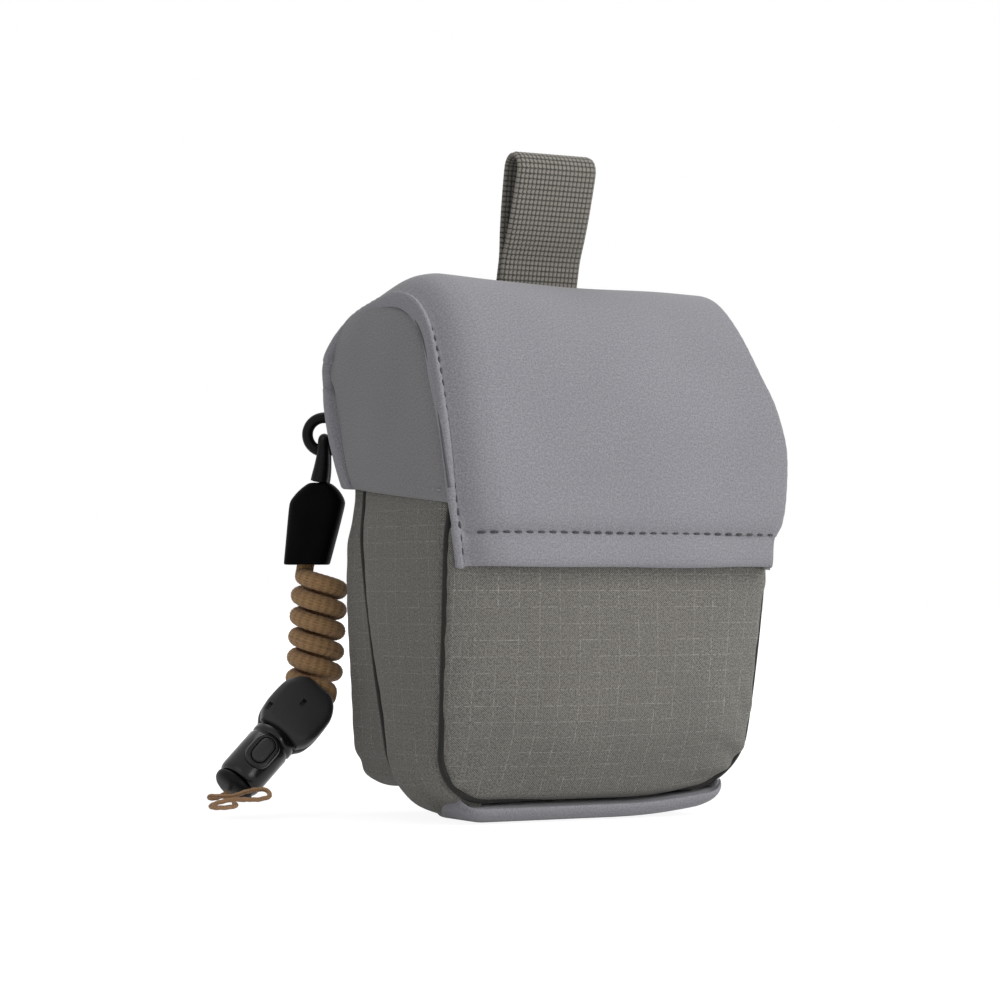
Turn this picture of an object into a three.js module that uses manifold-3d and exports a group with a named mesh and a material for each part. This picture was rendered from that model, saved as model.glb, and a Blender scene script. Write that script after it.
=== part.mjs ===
// Padded pouch for a hand-held rangefinder, standing on its base: a flared body of panels
// sewn over foam, a domed flap lid hinged at the rear top edge, a webbing hanger on the lid,
// a belt loop behind, and a coiled lanyard with a push-button release at the rear left.
// Millimetres. +X is to the right of the front, -Y the front, +Z up, and the base stands on z = 0.
import * as THREE from 'three';
import { mergeVertices } from 'three/addons/utils/BufferGeometryUtils.js';
import Module from 'manifold-3d';

const wasm = await Module();
wasm.setup();

// Driving dimensions
const GAP = 0.3;
const BODY_W = 96.4;
const BACK_OUT = 37.5;
const SEAM_Z = 4.5;
const CORNER_R = 15;
const BODY_TOP = 101;
const SHELL = 1.4;
const FOAM_IN = 1.7;
const FOAM_OUT = 3.5;
const LINER_IN = 3.8;
const LINER_OUT = 4.6;
const BINDING_H = 2;
const FRONT_ROLL = 14;
const BACK_ROLL = 8;
const SIDE_BULGE = 1;
const MOUTH = 4;
const FAR = 90;

// Tables of height and place: half widths from BODY_W, rear places from BACK_OUT
const HALF = BODY_W / 2;
const wide = (rows) => rows.map(([z, more]) => [z, HALF + more]);
const behind = (rows) => rows.map(([z, more]) => [z, BACK_OUT + more]);
const BODY_HALF = wide([[4.5, -2.5], [20, -1.9], [49, -0.6], [72, 0], [82, -1.1], [101, -2.4]]);
const FRONT_SEAM = [
  [4.5, -14], [14, -15.6], [21, -17.2], [36, -19.5], [52, -21.7], [67, -23.2], [81, -23.4], [101, -20.6],
];
const FRONT_CROWN = [[4.5, 4.4], [64, 4.2], [84, 3], [101, 2.2]];
const BACK_SEAM = behind([
  [4.5, -26.5], [16, -25.1], [36, -20.7], [51, -17.8], [67, -14.8], [80, -12.6], [101, -11.2],
]);
const BACK_FACE = behind([[4.5, 0], [72, 0], [80, -1.6], [101, -1.8]]);
const BASE_TURN = 34;
const BASE_OUT = 3.6;
const BASE_ROLL = 5;
const BASE_RIM = 0.6;
const BASE_EDGE = 1.2;

const HINGE_Y = BACK_OUT + 5.8;
const HINGE_Z = 115.4;
const HINGE_R = 1.5;
const HINGE_W = 96;
const LID_PROFILE = [
  [BACK_OUT + 7.1, 117.6], [BACK_OUT + 5.2, 125], [BACK_OUT - 3.4, 132.6], [BACK_OUT - 17, 137.6],
  [6, 139.6], [-5, 137.2], [-15, 129.4], [-22.2, 118], [-26.8, 103], [-29.9, 87], [-31.6, 74], [-31.8, 65.5],
];
const LID_HALF_REAR = wide([[117, 2.4], [125, 2], [133, 1], [137, -0.2], [140, -1.7]]);
const LID_HALF_FRONT = wide([
  [65, -1.4], [73, 0.2], [80, 2.8], [90, 3.9], [99.5, 4.1], [108, 3.4], [120, 2.6], [130, 1.4], [136, 0],
  [140, -1.7],
]);
const CHEEK_X = wide([[81, 1.6], [95, 2.4], [104, 2], [114, 1.2], [126, 0.2], [138, -1.7]]);
const CHEEK_HEM = 82;
const CHEEK_RISE = 4.8;
const CHEEK_BACK = 1.6;
const CHEEK_T = 1.8;
const CHEEK_INSET = 6.3;
const CHEEK_BULGE = 1.2;
const LID_T = 1.9;
const LID_ROLL = 4.4;
const LID_ROLL_W = 5.6;
const LID_CROWN = 1.2;
const LIP_H = 8.6;
const LIP_T = 2;
const LID_TOP_Y = 6;
const LID_FOAM_T = 1;
const LINING_T = 0.7;
const LINING_EDGE = 7;
const WELT_W = 5.4;
const WELT_T = 0.9;

const REAR_EDGE = behind([[78, -19.4], [87, -15.1], [97, -9.6], [110, -4.9], [114, -3.6]]);
const UPPER_OUT = behind([[87, 0.6], [93, 2], [102, 4], [110, 6.4], [113.4, 7.4]]);
const UPPER_HALF = wide([[87, 1.6], [93, 2.2], [102, 3.1], [114, 3.7]]);
const UPPER_T = 2;
const UPPER_ROLL = 7;
const PAD_HALF = 46.5;
const PAD_DEEP = 9.5;
const UPPER_Z0 = 87;
const UPPER_Z1 = 113.4;

const WEBBING_W = 25;
const WEBBING_T = 1.7;
const LOOP_FOOT = [15.4, 141];
const LOOP_LEAN = 14;
const LOOP_H = 37;
const LOOP_GAP = 5.6;
const LOOP_SEWN = 8;
const BELT_W = 34;
const BELT_Z0 = 22;
const BELT_Z1 = 70;
const BELT_GAP = 6.4;

const MAGNET_R = 5;
const MAGNET_X = 26;
const MAGNET_Z = 70;
const LID_MAGNET_R = 3.4;
const LID_MAGNET_T = 1.4;

const RING_C = new THREE.Vector3(-HALF - 0.2, BACK_OUT + 9.7, 102);
const RING_R = 4.6;
const RING_WIRE = 1.3;
const TIE_D = 1.4;
const TIE_END = 0.5;
const BAIL_R = 3.3;
const BAIL_WIRE = 1.6;
const BOOT_WALL = 1.2;
const BOOT_TOP = 88.8;
const CORD_D = 4.8;
const COIL_R = 5.5;
const COIL_TURNS = 5.39;
const COIL_PITCH = 5.4;
const COIL_TOP = 62.4;
const RELEASE_Z = 32.4;
const CLAMP_L = 18;
const CLAMP_T = 4.9;
const SOCKET_R = 6.1;
const SOCKET_L = 17;
const BUTTON_A = 24.6;
const BUTTON_R = 1.8;
const BUTTON_L = 2.6;
const PLUG_R = 3;
const STRING_D = 1.3;

// Colours
const GREY = 0x87868a;
const RIPSTOP = 0x6d6b63;
const WEBBING = 0x6a675d;
const FOAM = 0x4a4a4c;
const LINING = 0x5a5a5c;
const BLACK = 0x1b1b1d;
const CHARCOAL = 0x333438;
const STEEL = 0x9a9ca0;
const BROWN = 0x8a6a41;
const TAN = 0x9c7a5c;

const group = new THREE.Group();
const v3 = (x, y, z) => new THREE.Vector3(x, y, z);

function along(table, v) {
  const last = table.length - 1;
  if (v <= table[0][0]) return table[0][1];
  if (v >= table[last][0]) return table[last][1];
  let i = 0;
  while (v > table[i + 1][0]) i += 1;
  const [x1, y1] = table[i];
  const [x2, y2] = table[i + 1];
  const before = i > 0 ? table[i - 1] : [2 * x1 - x2, 2 * y1 - y2];
  const after = i + 2 <= last ? table[i + 2] : [2 * x2 - x1, 2 * y2 - y1];
  const h = x2 - x1;
  const m1 = (y2 - before[1]) / (x2 - before[0]);
  const m2 = (after[1] - y1) / (after[0] - x1);
  const t = (v - x1) / h;
  const a = (1 + 2 * t) * (1 - t) ** 2 * y1 + t * (1 - t) ** 2 * h * m1;
  return a + t * t * (3 - 2 * t) * y2 + t * t * (t - 1) * h * m2;
}

// How far a padded edge has come up at distance d from its seam, round or nearly square
const short = (d, width) => 1 - Math.min(Math.max(d / width, 0), 1);
const roll = (d, width) => Math.sqrt(1 - short(d, width) ** 2);
const squareRoll = (d, width) => (1 - short(d, width) ** 4) ** 0.25;
const spread = (n) => Array.from({ length: n + 1 }, (_, i) => Math.sin((Math.PI / 2) * ((2 * i) / n - 1)));
const steps = (a, b, n) => Array.from({ length: n + 1 }, (_, i) => a + ((b - a) * i) / n);

// Closed solids
function closed(points, triangles) {
  let volume = 0;
  for (const [a, b, c] of triangles) {
    volume += points[a].dot(v3(0, 0, 0).crossVectors(points[b], points[c]));
  }
  const index = [];
  for (const [a, b, c] of triangles) index.push(...(volume > 0 ? [a, b, c] : [a, c, b]));
  const geometry = new THREE.BufferGeometry();
  geometry.setAttribute('position', new THREE.Float32BufferAttribute(points.flatMap((p) => p.toArray()), 3));
  geometry.setIndex(index);
  return geometry;
}

function loft(rings) {
  const n = rings[0].length;
  const points = rings.flat();
  const triangles = [];
  for (let j = 0; j + 1 < rings.length; j += 1) {
    for (let i = 0; i < n; i += 1) {
      const a = j * n + i;
      const b = j * n + ((i + 1) % n);
      triangles.push([a, b, b + n], [a, b + n, a + n]);
    }
  }
  for (const [ring, start] of [[rings[0], 0], [rings.at(-1), points.length - n]]) {
    const middle = ring.reduce((sum, p) => sum.add(p), v3(0, 0, 0)).divideScalar(n);
    const hub = points.push(middle) - 1;
    for (let i = 0; i < n; i += 1) {
      const a = start + i;
      const b = start + ((i + 1) % n);
      triangles.push(start === 0 ? [hub, b, a] : [hub, a, b]);
    }
  }
  return closed(points, triangles);
}

function sheet(outer, inner) {
  const rows = outer.length;
  const cols = outer[0].length;
  const points = [...outer.flat(), ...inner.flat()];
  const half = rows * cols;
  const triangles = [];
  const quad = (a, b, c, d) => triangles.push([a, b, c], [a, c, d]);
  for (let j = 0; j + 1 < rows; j += 1) {
    for (let i = 0; i + 1 < cols; i += 1) {
      const a = j * cols + i;
      quad(a, a + 1, a + cols + 1, a + cols);
      quad(half + a, half + a + cols, half + a + cols + 1, half + a + 1);
    }
  }
  for (let i = 0; i + 1 < cols; i += 1) {
    const end = (rows - 1) * cols + i;
    quad(i, half + i, half + i + 1, i + 1);
    quad(end, end + 1, half + end + 1, half + end);
  }
  for (let j = 0; j + 1 < rows; j += 1) {
    const a = j * cols;
    const b = a + cols - 1;
    quad(a, a + cols, half + a + cols, half + a);
    quad(b, half + b, half + b + cols, b + cols);
  }
  return closed(points, triangles);
}

function solid(geometry) {
  const g = geometry.clone();
  g.deleteAttribute('normal');
  g.deleteAttribute('uv');
  const merged = mergeVertices(g, 1e-4);
  return new wasm.Manifold(new wasm.Mesh({
    numProp: 3,
    vertProperties: new Float32Array(merged.attributes.position.array),
    triVerts: new Uint32Array(merged.index.array),
  }));
}

// The piece itself, without the slivers that a cut along a curved seam can leave
function whole(body) {
  return body.decompose().reduce((most, part) => (part.volume() > most.volume() ? part : most));
}

function geometryOf(body) {
  const mesh = body.getMesh();
  const geometry = new THREE.BufferGeometry();
  geometry.setAttribute('position', new THREE.Float32BufferAttribute(Array.from(mesh.vertProperties), 3));
  geometry.setIndex(Array.from(mesh.triVerts));
  return geometry;
}

function add(name, made, color, metalness = 0, roughness = 0.8) {
  const geometry = made.isBufferGeometry ? made : geometryOf(whole(made));
  geometry.computeVertexNormals();
  const mesh = new THREE.Mesh(geometry, new THREE.MeshStandardMaterial({ color, metalness, roughness }));
  mesh.name = name;
  group.add(mesh);
}

// A flat outline in (y, z) drawn out along x
function prismX(outline, x0, x1, holes = []) {
  const shape = new THREE.Shape(outline.map(([y, z]) => new THREE.Vector2(y, z)));
  for (const hole of holes) shape.holes.push(new THREE.Path(hole.map(([y, z]) => new THREE.Vector2(y, z))));
  const geometry = new THREE.ExtrudeGeometry(shape, { depth: x1 - x0, bevelEnabled: false });
  geometry.applyMatrix4(new THREE.Matrix4().makeBasis(v3(0, 1, 0), v3(0, 0, 1), v3(1, 0, 0)));
  return geometry.translate(x0, 0, 0);
}

function box(x0, x1, y0, y1, z0, z1) {
  const geometry = new THREE.BoxGeometry(x1 - x0, y1 - y0, z1 - z0);
  return solid(geometry.translate((x0 + x1) / 2, (y0 + y1) / 2, (z0 + z1) / 2));
}

function tube(points, diameter, sides, count) {
  const circle = Array.from({ length: sides }, (_, i) => {
    const a = (2 * Math.PI * i) / sides;
    return new THREE.Vector2((Math.cos(a) * diameter) / 2, (Math.sin(a) * diameter) / 2);
  });
  const path = new THREE.CatmullRomCurve3(points, false, 'centripetal');
  const shape = new THREE.Shape(circle);
  return new THREE.ExtrudeGeometry(shape, { steps: count, bevelEnabled: false, extrudePath: path });
}

// Body: a pillow-shaped outline, drawn in by `inset`, closed up to height `top`
const bodyHalf = (z) => along(BODY_HALF, z);
const backOut = (z) => along(BACK_FACE, z);
const ARC_Z = SEAM_Z + CORNER_R;
const ARC_X = bodyHalf(ARC_Z) - CORNER_R;

function pillow(inset, top) {
  const bottom = SEAM_Z + inset;
  const r = CORNER_R - inset;
  const heights = steps(0, Math.PI / 2, 5).map((a) => ARC_Z - r * Math.cos(a));
  heights.push(...steps(ARC_Z, BODY_TOP, 8).slice(1, -1), top);
  const widthAt = (z) => {
    if (z >= ARC_Z) return bodyHalf(z) - inset;
    return ARC_X + Math.sqrt(Math.max(r * r - (ARC_Z - z) ** 2, 0));
  };
  const edge = (x, z) => {
    const out = Math.abs(x) - ARC_X;
    if (z < ARC_Z && out > 0) return r - Math.hypot(out, ARC_Z - z);
    return Math.min(widthAt(z) - Math.abs(x), z - bottom);
  };
  const across = spread(10);
  const rings = heights.map((z) => {
    const half = widthAt(z);
    const front = along(FRONT_SEAM, z);
    const back = along(BACK_SEAM, z);
    const deepFront = along(FRONT_CROWN, z) - inset;
    const deepBack = backOut(z) - inset - back;
    const frontY = (x) => front - deepFront * roll(edge(x, z), FRONT_ROLL);
    const backY = (x) => back + deepBack * squareRoll(edge(x, z), BACK_ROLL - inset / 2);
    const bulged = (t) => half + SIDE_BULGE * Math.sin(Math.PI * t);
    const side = [0.33, 0.67].map((t) => [bulged(t), front + (back - front) * t]);
    return [
      ...across.map((u) => v3(u * half, frontY(u * half), z)),
      ...side.map(([x, y]) => v3(x, y, z)),
      ...across.toReversed().map((u) => v3(u * half, backY(u * half), z)),
      ...side.toReversed().map(([x, y]) => v3(-x, y, z)),
    ];
  });
  return solid(loft(rings));
}
// The hollow that is left inside an inset form, open at the top
const hollow = (inset) => pillow(inset, BODY_TOP + MOUTH);

const CUT_TOP = BODY_TOP + MOUTH + 1;
const levels = [0, 6, ...steps(12, CUT_TOP, 15)];
const seamLine = (table, shift) => levels.map((z) => [along(table, z) + shift, z]);
const frontSide = solid(prismX(
  [...seamLine(FRONT_SEAM, -GAP / 2), [-FAR, CUT_TOP], [-FAR, 0]], -FAR, FAR,
));
const backSide = solid(prismX(
  [[FAR, 0], [FAR, CUT_TOP], ...seamLine(BACK_SEAM, GAP / 2).toReversed()], -FAR, FAR,
));
const between = solid(prismX(
  [...seamLine(FRONT_SEAM, GAP / 2), ...seamLine(BACK_SEAM, -GAP / 2).toReversed()], -FAR, FAR,
));
const leftSide = box(-FAR, -ARC_X - GAP / 2, -FAR, FAR, 0, CUT_TOP);
const rightSide = box(ARC_X + GAP / 2, FAR, -FAR, FAR, 0, CUT_TOP);
const middle = box(-ARC_X + GAP / 2, ARC_X - GAP / 2, -FAR, FAR, 0, ARC_Z);

const shell = pillow(0, BODY_TOP).subtract(hollow(SHELL));
const padding = pillow(FOAM_IN, BODY_TOP).subtract(hollow(FOAM_OUT));
const sides = between.intersect(leftSide.add(rightSide));
add('front_panel', shell.intersect(frontSide), RIPSTOP);
add('back_panel', shell.intersect(backSide), RIPSTOP);
add('left_gusset', shell.intersect(sides).intersect(leftSide), RIPSTOP);
add('right_gusset', shell.intersect(sides).intersect(rightSide), RIPSTOP);
add('base_board', shell.intersect(between).intersect(middle), FOAM);

const magnetRod = (x, r) => {
  const rod = new THREE.CylinderGeometry(r, r, 2 * FRONT_ROLL, 20);
  return solid(rod.translate(x, along(FRONT_SEAM, MAGNET_Z), MAGNET_Z));
};
const magnetHoles = magnetRod(MAGNET_X, MAGNET_R + GAP).add(magnetRod(-MAGNET_X, MAGNET_R + GAP));
add('front_foam', padding.intersect(frontSide).subtract(magnetHoles), FOAM);
add('back_foam', padding.intersect(backSide), FOAM);
add('left_foam', padding.intersect(sides).intersect(leftSide), FOAM);
add('right_foam', padding.intersect(sides).intersect(rightSide), FOAM);
add('liner_bag', pillow(LINER_IN, BODY_TOP).subtract(hollow(LINER_OUT)), LINING);
const bindingZ = BODY_TOP + GAP;
const aboveMouth = box(-FAR, FAR, -FAR, FAR, bindingZ, CUT_TOP);
const binding = pillow(0.2, bindingZ + BINDING_H).subtract(hollow(LINER_OUT)).intersect(aboveMouth);
add('mouth_binding', binding, WEBBING);
const magnetLayer = pillow(FOAM_IN + 0.1, BODY_TOP).subtract(hollow(FOAM_OUT - 0.1)).intersect(frontSide);
add('body_magnet_left', magnetLayer.intersect(magnetRod(-MAGNET_X, MAGNET_R)), STEEL, 0.9, 0.35);
add('body_magnet_right', magnetLayer.intersect(magnetRod(MAGNET_X, MAGNET_R)), STEEL, 0.9, 0.35);

// Base: a padded tray under the body, turned up round both lower corners
const basePath = [
  ...steps(-BASE_TURN, 0, 4).map((a) => [-ARC_X, a]),
  ...steps(-ARC_X, ARC_X, 4).slice(1, -1).map((x) => [x, 0]),
  ...steps(0, BASE_TURN, 4).map((a) => [ARC_X, a]),
];
const baseFront = along(FRONT_SEAM, SEAM_Z) - BASE_OUT;
const baseBack = along(BACK_SEAM, SEAM_Z) + BASE_OUT;
const baseY = spread(8).map((u) => (baseFront + baseBack) / 2 + (u * (baseBack - baseFront)) / 2);
const baseGrid = (offset) => basePath.map(([x, turn]) => baseY.map((y) => {
  const a = THREE.MathUtils.degToRad(turn);
  const r = CORNER_R + offset(y, Math.abs(Math.sin(a)));
  return v3(x + r * Math.sin(a), y, ARC_Z - r * Math.cos(a));
}));
const baseInner = (y, turned) => GAP + (SIDE_BULGE + GAP) * turned;
const baseOuter = (y, turned) => {
  const d = Math.min(y - baseFront, baseBack - y);
  const full = SEAM_Z - BASE_EDGE * turned;
  const low = baseInner(y, turned) + BASE_RIM;
  return low + (full - low) * roll(d, BASE_ROLL);
};
add('base_panel', sheet(baseGrid(baseOuter), baseGrid(baseInner)), GREY);

// Upper back: a dished panel from the back panel's top edge up to the lid hinge
function upperBack(inset, forward) {
  const over = inset ? 1 : 0;
  const across = spread(14).toReversed();
  const rings = steps(UPPER_Z0 - over, UPPER_Z1 + over, 6).map((z) => {
    const half = along(UPPER_HALF, z) - inset;
    const edge = along(REAR_EDGE, z);
    const deep = along(UPPER_OUT, z) - edge - inset;
    const skin = across.map((u) => {
      const d = half - Math.abs(u * half);
      return v3(u * half, edge + deep * squareRoll(d, UPPER_ROLL - inset / 2), z);
    });
    return [...skin, v3(-half, edge - forward, z), v3(half, edge - forward, z)];
  });
  return solid(loft(rings));
}
add('upper_back_panel', upperBack(0, 0.01).subtract(upperBack(UPPER_T, 2)), GREY);
const padSpace = upperBack(UPPER_T + GAP, 0.01).subtract(pillow(-0.5, bindingZ + BINDING_H + 0.5));
const padBox = box(-PAD_HALF, PAD_HALF, BACK_OUT - PAD_DEEP, FAR, UPPER_Z0 + 6, UPPER_Z1 - 1);
add('upper_back_pad', padSpace.intersect(padBox), FOAM);
const fold = new THREE.CylinderGeometry(HINGE_R, HINGE_R, HINGE_W, 12).rotateZ(Math.PI / 2);
add('hinge_fold', fold.translate(0, HINGE_Y, HINGE_Z), GREY);

// Lid
const lidCurve = new THREE.CatmullRomCurve3(LID_PROFILE.map(([y, z]) => v3(0, y, z)), false, 'centripetal');
const HEM_S = 1 - LIP_H / lidCurve.getLength();
const LID_S0 = 0.012;
function lidAt(s) {
  const p = lidCurve.getPointAt(s);
  const t = lidCurve.getTangentAt(s);
  return { y: p.y, z: p.z, ny: t.z, nz: -t.y };
}
const lidHalf = (p) => along(p.y > LID_TOP_Y ? LID_HALF_REAR : LID_HALF_FRONT, p.z);
function lidPoint(s, x, offset, flat = false) {
  const p = lidAt(s);
  const half = lidHalf(p);
  const drop = flat ? 0 : LID_ROLL * (1 - roll(half - Math.abs(x), LID_ROLL_W));
  const lift = offset - drop + LID_CROWN * (1 - (x / half) ** 2);
  return v3(x, p.y + p.ny * lift, p.z + p.nz * lift);
}
function lidSheet(s0, s1, rows, columns, o1, o0, flat = false) {
  const grid = (offset) => steps(s0, s1, rows).map((s) => {
    const half = lidHalf(lidAt(s));
    return columns(half).map((x) => lidPoint(s, x, offset, flat));
  });
  return sheet(grid(o1), grid(o0));
}
const full = (half) => spread(12).map((u) => u * half);
const insideBy = (edge) => (half) => spread(6).map((u) => u * (half - edge));
const lidFoam = LID_T + GAP + 0.25;
const lidLining = lidFoam + LID_FOAM_T + GAP + 0.1;
add('lid_panel', lidSheet(LID_S0, HEM_S, 18, full, 0, -LID_T), GREY);
add('lid_lip', lidSheet(HEM_S + 0.003, 1, 3, full, 0.6, 0.6 - LIP_T), GREY);
const padded = insideBy(LINING_EDGE);
const foamBack = -lidFoam - LID_FOAM_T;
const liningBack = -lidLining - LINING_T;
add('lid_foam', lidSheet(0.05, HEM_S - 0.01, 17, padded, -lidFoam, foamBack, true), FOAM);
add('lid_lining', lidSheet(0.05, 0.99, 19, padded, -lidLining, liningBack, true), LINING);
for (const [name, side] of [['lid_left_welt', -1], ['lid_right_welt', 1]]) {
  const strip = (half) => steps(half - GAP, half - WELT_W, 3).map((x) => side * x);
  add(name, lidSheet(LID_S0, HEM_S, 18, strip, WELT_T + 0.4, 0.4), GREY);
}

// Cheeks: the lid's two side panels, free along their rear edge and hem
const inner = steps(0, 1, 160).map((s) => {
  const p = lidAt(s);
  return [p.y - p.ny * CHEEK_INSET, p.z - p.nz * CHEEK_INSET];
});
const crest = inner.reduce((best, p, i) => (p[1] > inner[best][1] ? i : best), 0);
const meet = (list, z) => {
  for (let i = 0; i + 1 < list.length; i += 1) {
    const [y0, z0] = list[i];
    const [y1, z1] = list[i + 1];
    if ((z0 - z) * (z1 - z) <= 0 && z0 !== z1) return y0 + ((y1 - y0) * (z - z0)) / (z1 - z0);
  }
  return null;
};
const cheekTop = inner[crest][1] - 2;
for (const [name, side] of [['lid_left_cheek', -1], ['lid_right_cheek', 1]]) {
  const shares = steps(0, 1, 10).map((t) => Math.sin((t * Math.PI) / 2));
  const face = (depth) => shares.map((share) => {
    const z = CHEEK_HEM + (cheekTop - CHEEK_HEM) * share;
    const front = meet(inner.slice(crest), z);
    const top = meet(inner.slice(0, crest + 1), z);
    const edge = along(REAR_EDGE, z) - 0.5;
    const rear = top === null ? edge : Math.min(edge, top);
    return steps(0, 1, 6).map((w) => {
      const rise = CHEEK_RISE * w * (1 - share);
      const out = along(CHEEK_X, z + rise) + CHEEK_BULGE * (1 - (2 * w - 1) ** 2) - depth;
      return v3(side * out, front + (rear - front + CHEEK_BACK * (1 - share)) * w, z + rise);
    });
  });
  add(name, sheet(face(0), face(CHEEK_T)), GREY);
}
for (const [name, x] of [['lid_magnet_left', -MAGNET_X], ['lid_magnet_right', MAGNET_X]]) {
  const p = lidAt((1 + HEM_S) / 2);
  const disc = new THREE.CylinderGeometry(LID_MAGNET_R, LID_MAGNET_R, LID_MAGNET_T, 20);
  const lift = (0.6 - LIP_T - lidLining) / 2 + LID_CROWN * (1 - (x / lidHalf(p)) ** 2);
  disc.rotateX(-Math.atan2(p.nz, -p.ny));
  add(name, disc.translate(x, p.y + p.ny * lift, p.z + p.nz * lift), STEEL, 0.9, 0.35);
}

// Webbing hanger: two plies together below, a drop-shaped opening above
const mouth = LOOP_GAP / 2;
const crown = LOOP_H - WEBBING_T - mouth;
const arc = (r, n, z) => steps(0, Math.PI, n).map((a) => [r * Math.cos(a), z + r * Math.sin(a)]);
const dropOuter = [
  [-WEBBING_T, 0.7], [0.7 - WEBBING_T, 0], [WEBBING_T - 0.7, 0], [WEBBING_T, 0.7], [WEBBING_T, LOOP_SEWN],
  [WEBBING_T + 1, LOOP_SEWN + 7],
  ...arc(mouth + WEBBING_T, 8, crown), [-WEBBING_T - 1, LOOP_SEWN + 7], [-WEBBING_T, LOOP_SEWN],
];
const dropInner = [
  [0.15, LOOP_SEWN + 2.5], [1.2, LOOP_SEWN + 7], ...arc(mouth, 8, crown), [-1.2, LOOP_SEWN + 7],
  [-0.15, LOOP_SEWN + 2.5],
];
const hanger = prismX(dropOuter, -WEBBING_W / 2, WEBBING_W / 2, [dropInner]);
hanger.rotateX(THREE.MathUtils.degToRad(LOOP_LEAN));
add('webbing_loop', hanger.translate(0, LOOP_FOOT[0], LOOP_FOOT[1]), WEBBING);

// Belt loop: a strap standing off the back panel between two sewn feet
const strapIn = BACK_OUT + GAP;
const strapOut = strapIn + BELT_GAP;
const beltOuter = [
  [strapIn, BELT_Z0], [strapIn + WEBBING_T, BELT_Z0], [strapOut + WEBBING_T, BELT_Z0 + 9],
  [strapOut + WEBBING_T, BELT_Z1 - 9], [strapIn + WEBBING_T, BELT_Z1], [strapIn, BELT_Z1],
  [strapIn, BELT_Z1 - 5], [strapOut, BELT_Z1 - 11], [strapOut, BELT_Z0 + 11], [strapIn, BELT_Z0 + 5],
];
add('belt_loop', prismX(beltOuter, -BELT_W / 2, BELT_W / 2), WEBBING);

// Lanyard: places are given by how far to the right in the picture, height, and towards the viewer
const TURN = THREE.MathUtils.degToRad(-29.8);
const RIGHT = v3(Math.cos(TURN), Math.sin(TURN), 0);
const UP = v3(0, 0, 1);
const NEAR = v3(0, 0, 0).crossVectors(RIGHT, UP);
const beside = (p, right, up, near) => (
  p.clone().addScaledVector(RIGHT, right).addScaledVector(UP, up).addScaledVector(NEAR, near)
);
const at = (right, z, near) => beside(v3(RING_C.x, RING_C.y, 0), right, z, near);

const ring = new THREE.TorusGeometry(RING_R, RING_WIRE, 8, 20);
ring.applyMatrix4(new THREE.Matrix4().makeBasis(RIGHT, UP, NEAR).setPosition(RING_C));
add('anchor_ring', ring, BLACK, 0.1, 0.5);
const ringEdge = beside(RING_C, RING_R, 0, 0);
const tieR = RING_WIRE + TIE_D / 2 + GAP;
const tieAt = (x, y) => v3(ringEdge.x + x, y, RING_C.z);
const tieArc = steps(0, Math.PI, 6).map((a) => tieAt(tieR * Math.cos(a), ringEdge.y + tieR * Math.sin(a)));
const tieFoot = along(UPPER_OUT, RING_C.z) + TIE_END;
add('anchor_cord', tube([tieAt(tieR, tieFoot), ...tieArc, tieAt(-tieR, tieFoot)], TIE_D, 6, 18), BLACK);

const bailTop = RING_C.z - RING_R;
const bailArc = steps(0, Math.PI, 6).map((a) => at(0, bailTop + BAIL_R * Math.sin(a), BAIL_R * Math.cos(a)));
const bailLeg = (near) => [at(-1.1, BOOT_TOP + 0.4, near), at(-0.4, BOOT_TOP + 4.2, near)];
const bailRoute = [...bailLeg(BAIL_R), ...bailArc, ...bailLeg(-BAIL_R).toReversed()];
add('boot_bail', tube(bailRoute, 2 * BAIL_WIRE, 8, 20), BLACK, 0.1, 0.5);

// Boot rings: depth below its top, shift to the right, half width and half depth
const BOOT = [
  [0, -1.1, 3.2, 5.2], [2, -1.3, 5.5, 5.6], [5.4, -1.8, 7.5, 6.4], [14.8, -3.4, 6.8, 6.3],
  [23.3, -4.9, 6.1, 6.2],
];
const BOOT_INSIDE = [[6.8, -2, 7, 6.3], [14.8, -3.4, 6.8, 6.3], [24.3, -5, 6.3, 6.5]];
const bulge = (v) => Math.sign(v) * Math.abs(v) ** 0.55;
function bootForm(rows, wall) {
  const around = steps(0, 2 * Math.PI, 24).slice(1);
  const bootRing = ([down, shift, halfW, halfD]) => around.map((a) => at(
    shift + (halfW - wall) * bulge(Math.cos(a)), BOOT_TOP - down, (halfD - wall) * bulge(Math.sin(a)),
  ));
  return solid(loft(rows.map(bootRing)));
}
add('coil_boot', bootForm(BOOT, 0).subtract(bootForm(BOOT_INSIDE, BOOT_WALL)), BLACK, 0.05, 0.6);

// Coiled cord: straight end in the boot, the curls, straight end in the clamp
const AXIS = beside(v3(0, 0, 0), -0.57, -0.675, 0.468).normalize();
const FACE = NEAR.clone().addScaledVector(AXIS, -NEAR.dot(AXIS)).normalize();
const SIDE = v3(0, 0, 0).crossVectors(FACE, AXIS);
const CLAMP_AT = at(-1.7, RELEASE_Z, 5.1);
const onAxis = (d) => CLAMP_AT.clone().addScaledVector(AXIS, d);
const curls = steps(0, COIL_TURNS, 65).map((turn) => {
  const a = 2 * Math.PI * turn - Math.PI / 2;
  const drift = -0.5 - (2.5 * turn) / COIL_TURNS;
  return at(drift + COIL_R * Math.cos(a), COIL_TOP - COIL_PITCH * turn, COIL_R * Math.sin(a));
});
const cordRoute = [
  at(-3.6, 79, 0), at(-4, 74, 0), at(-4.4, 69.4, -0.2), at(-4.1, 65.9, -0.7), ...curls,
  onAxis(1), onAxis(4), onAxis(9),
];
add('coil_cord', tube(cordRoute, CORD_D, 6, 100), BROWN);
const CORD_POINTS = 500;
const cordLine = new THREE.CatmullRomCurve3(cordRoute, false, 'centripetal').getSpacedPoints(CORD_POINTS);
const cordStep = cordLine[0].distanceTo(cordLine[1]);
let leastGap = Infinity;
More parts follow.
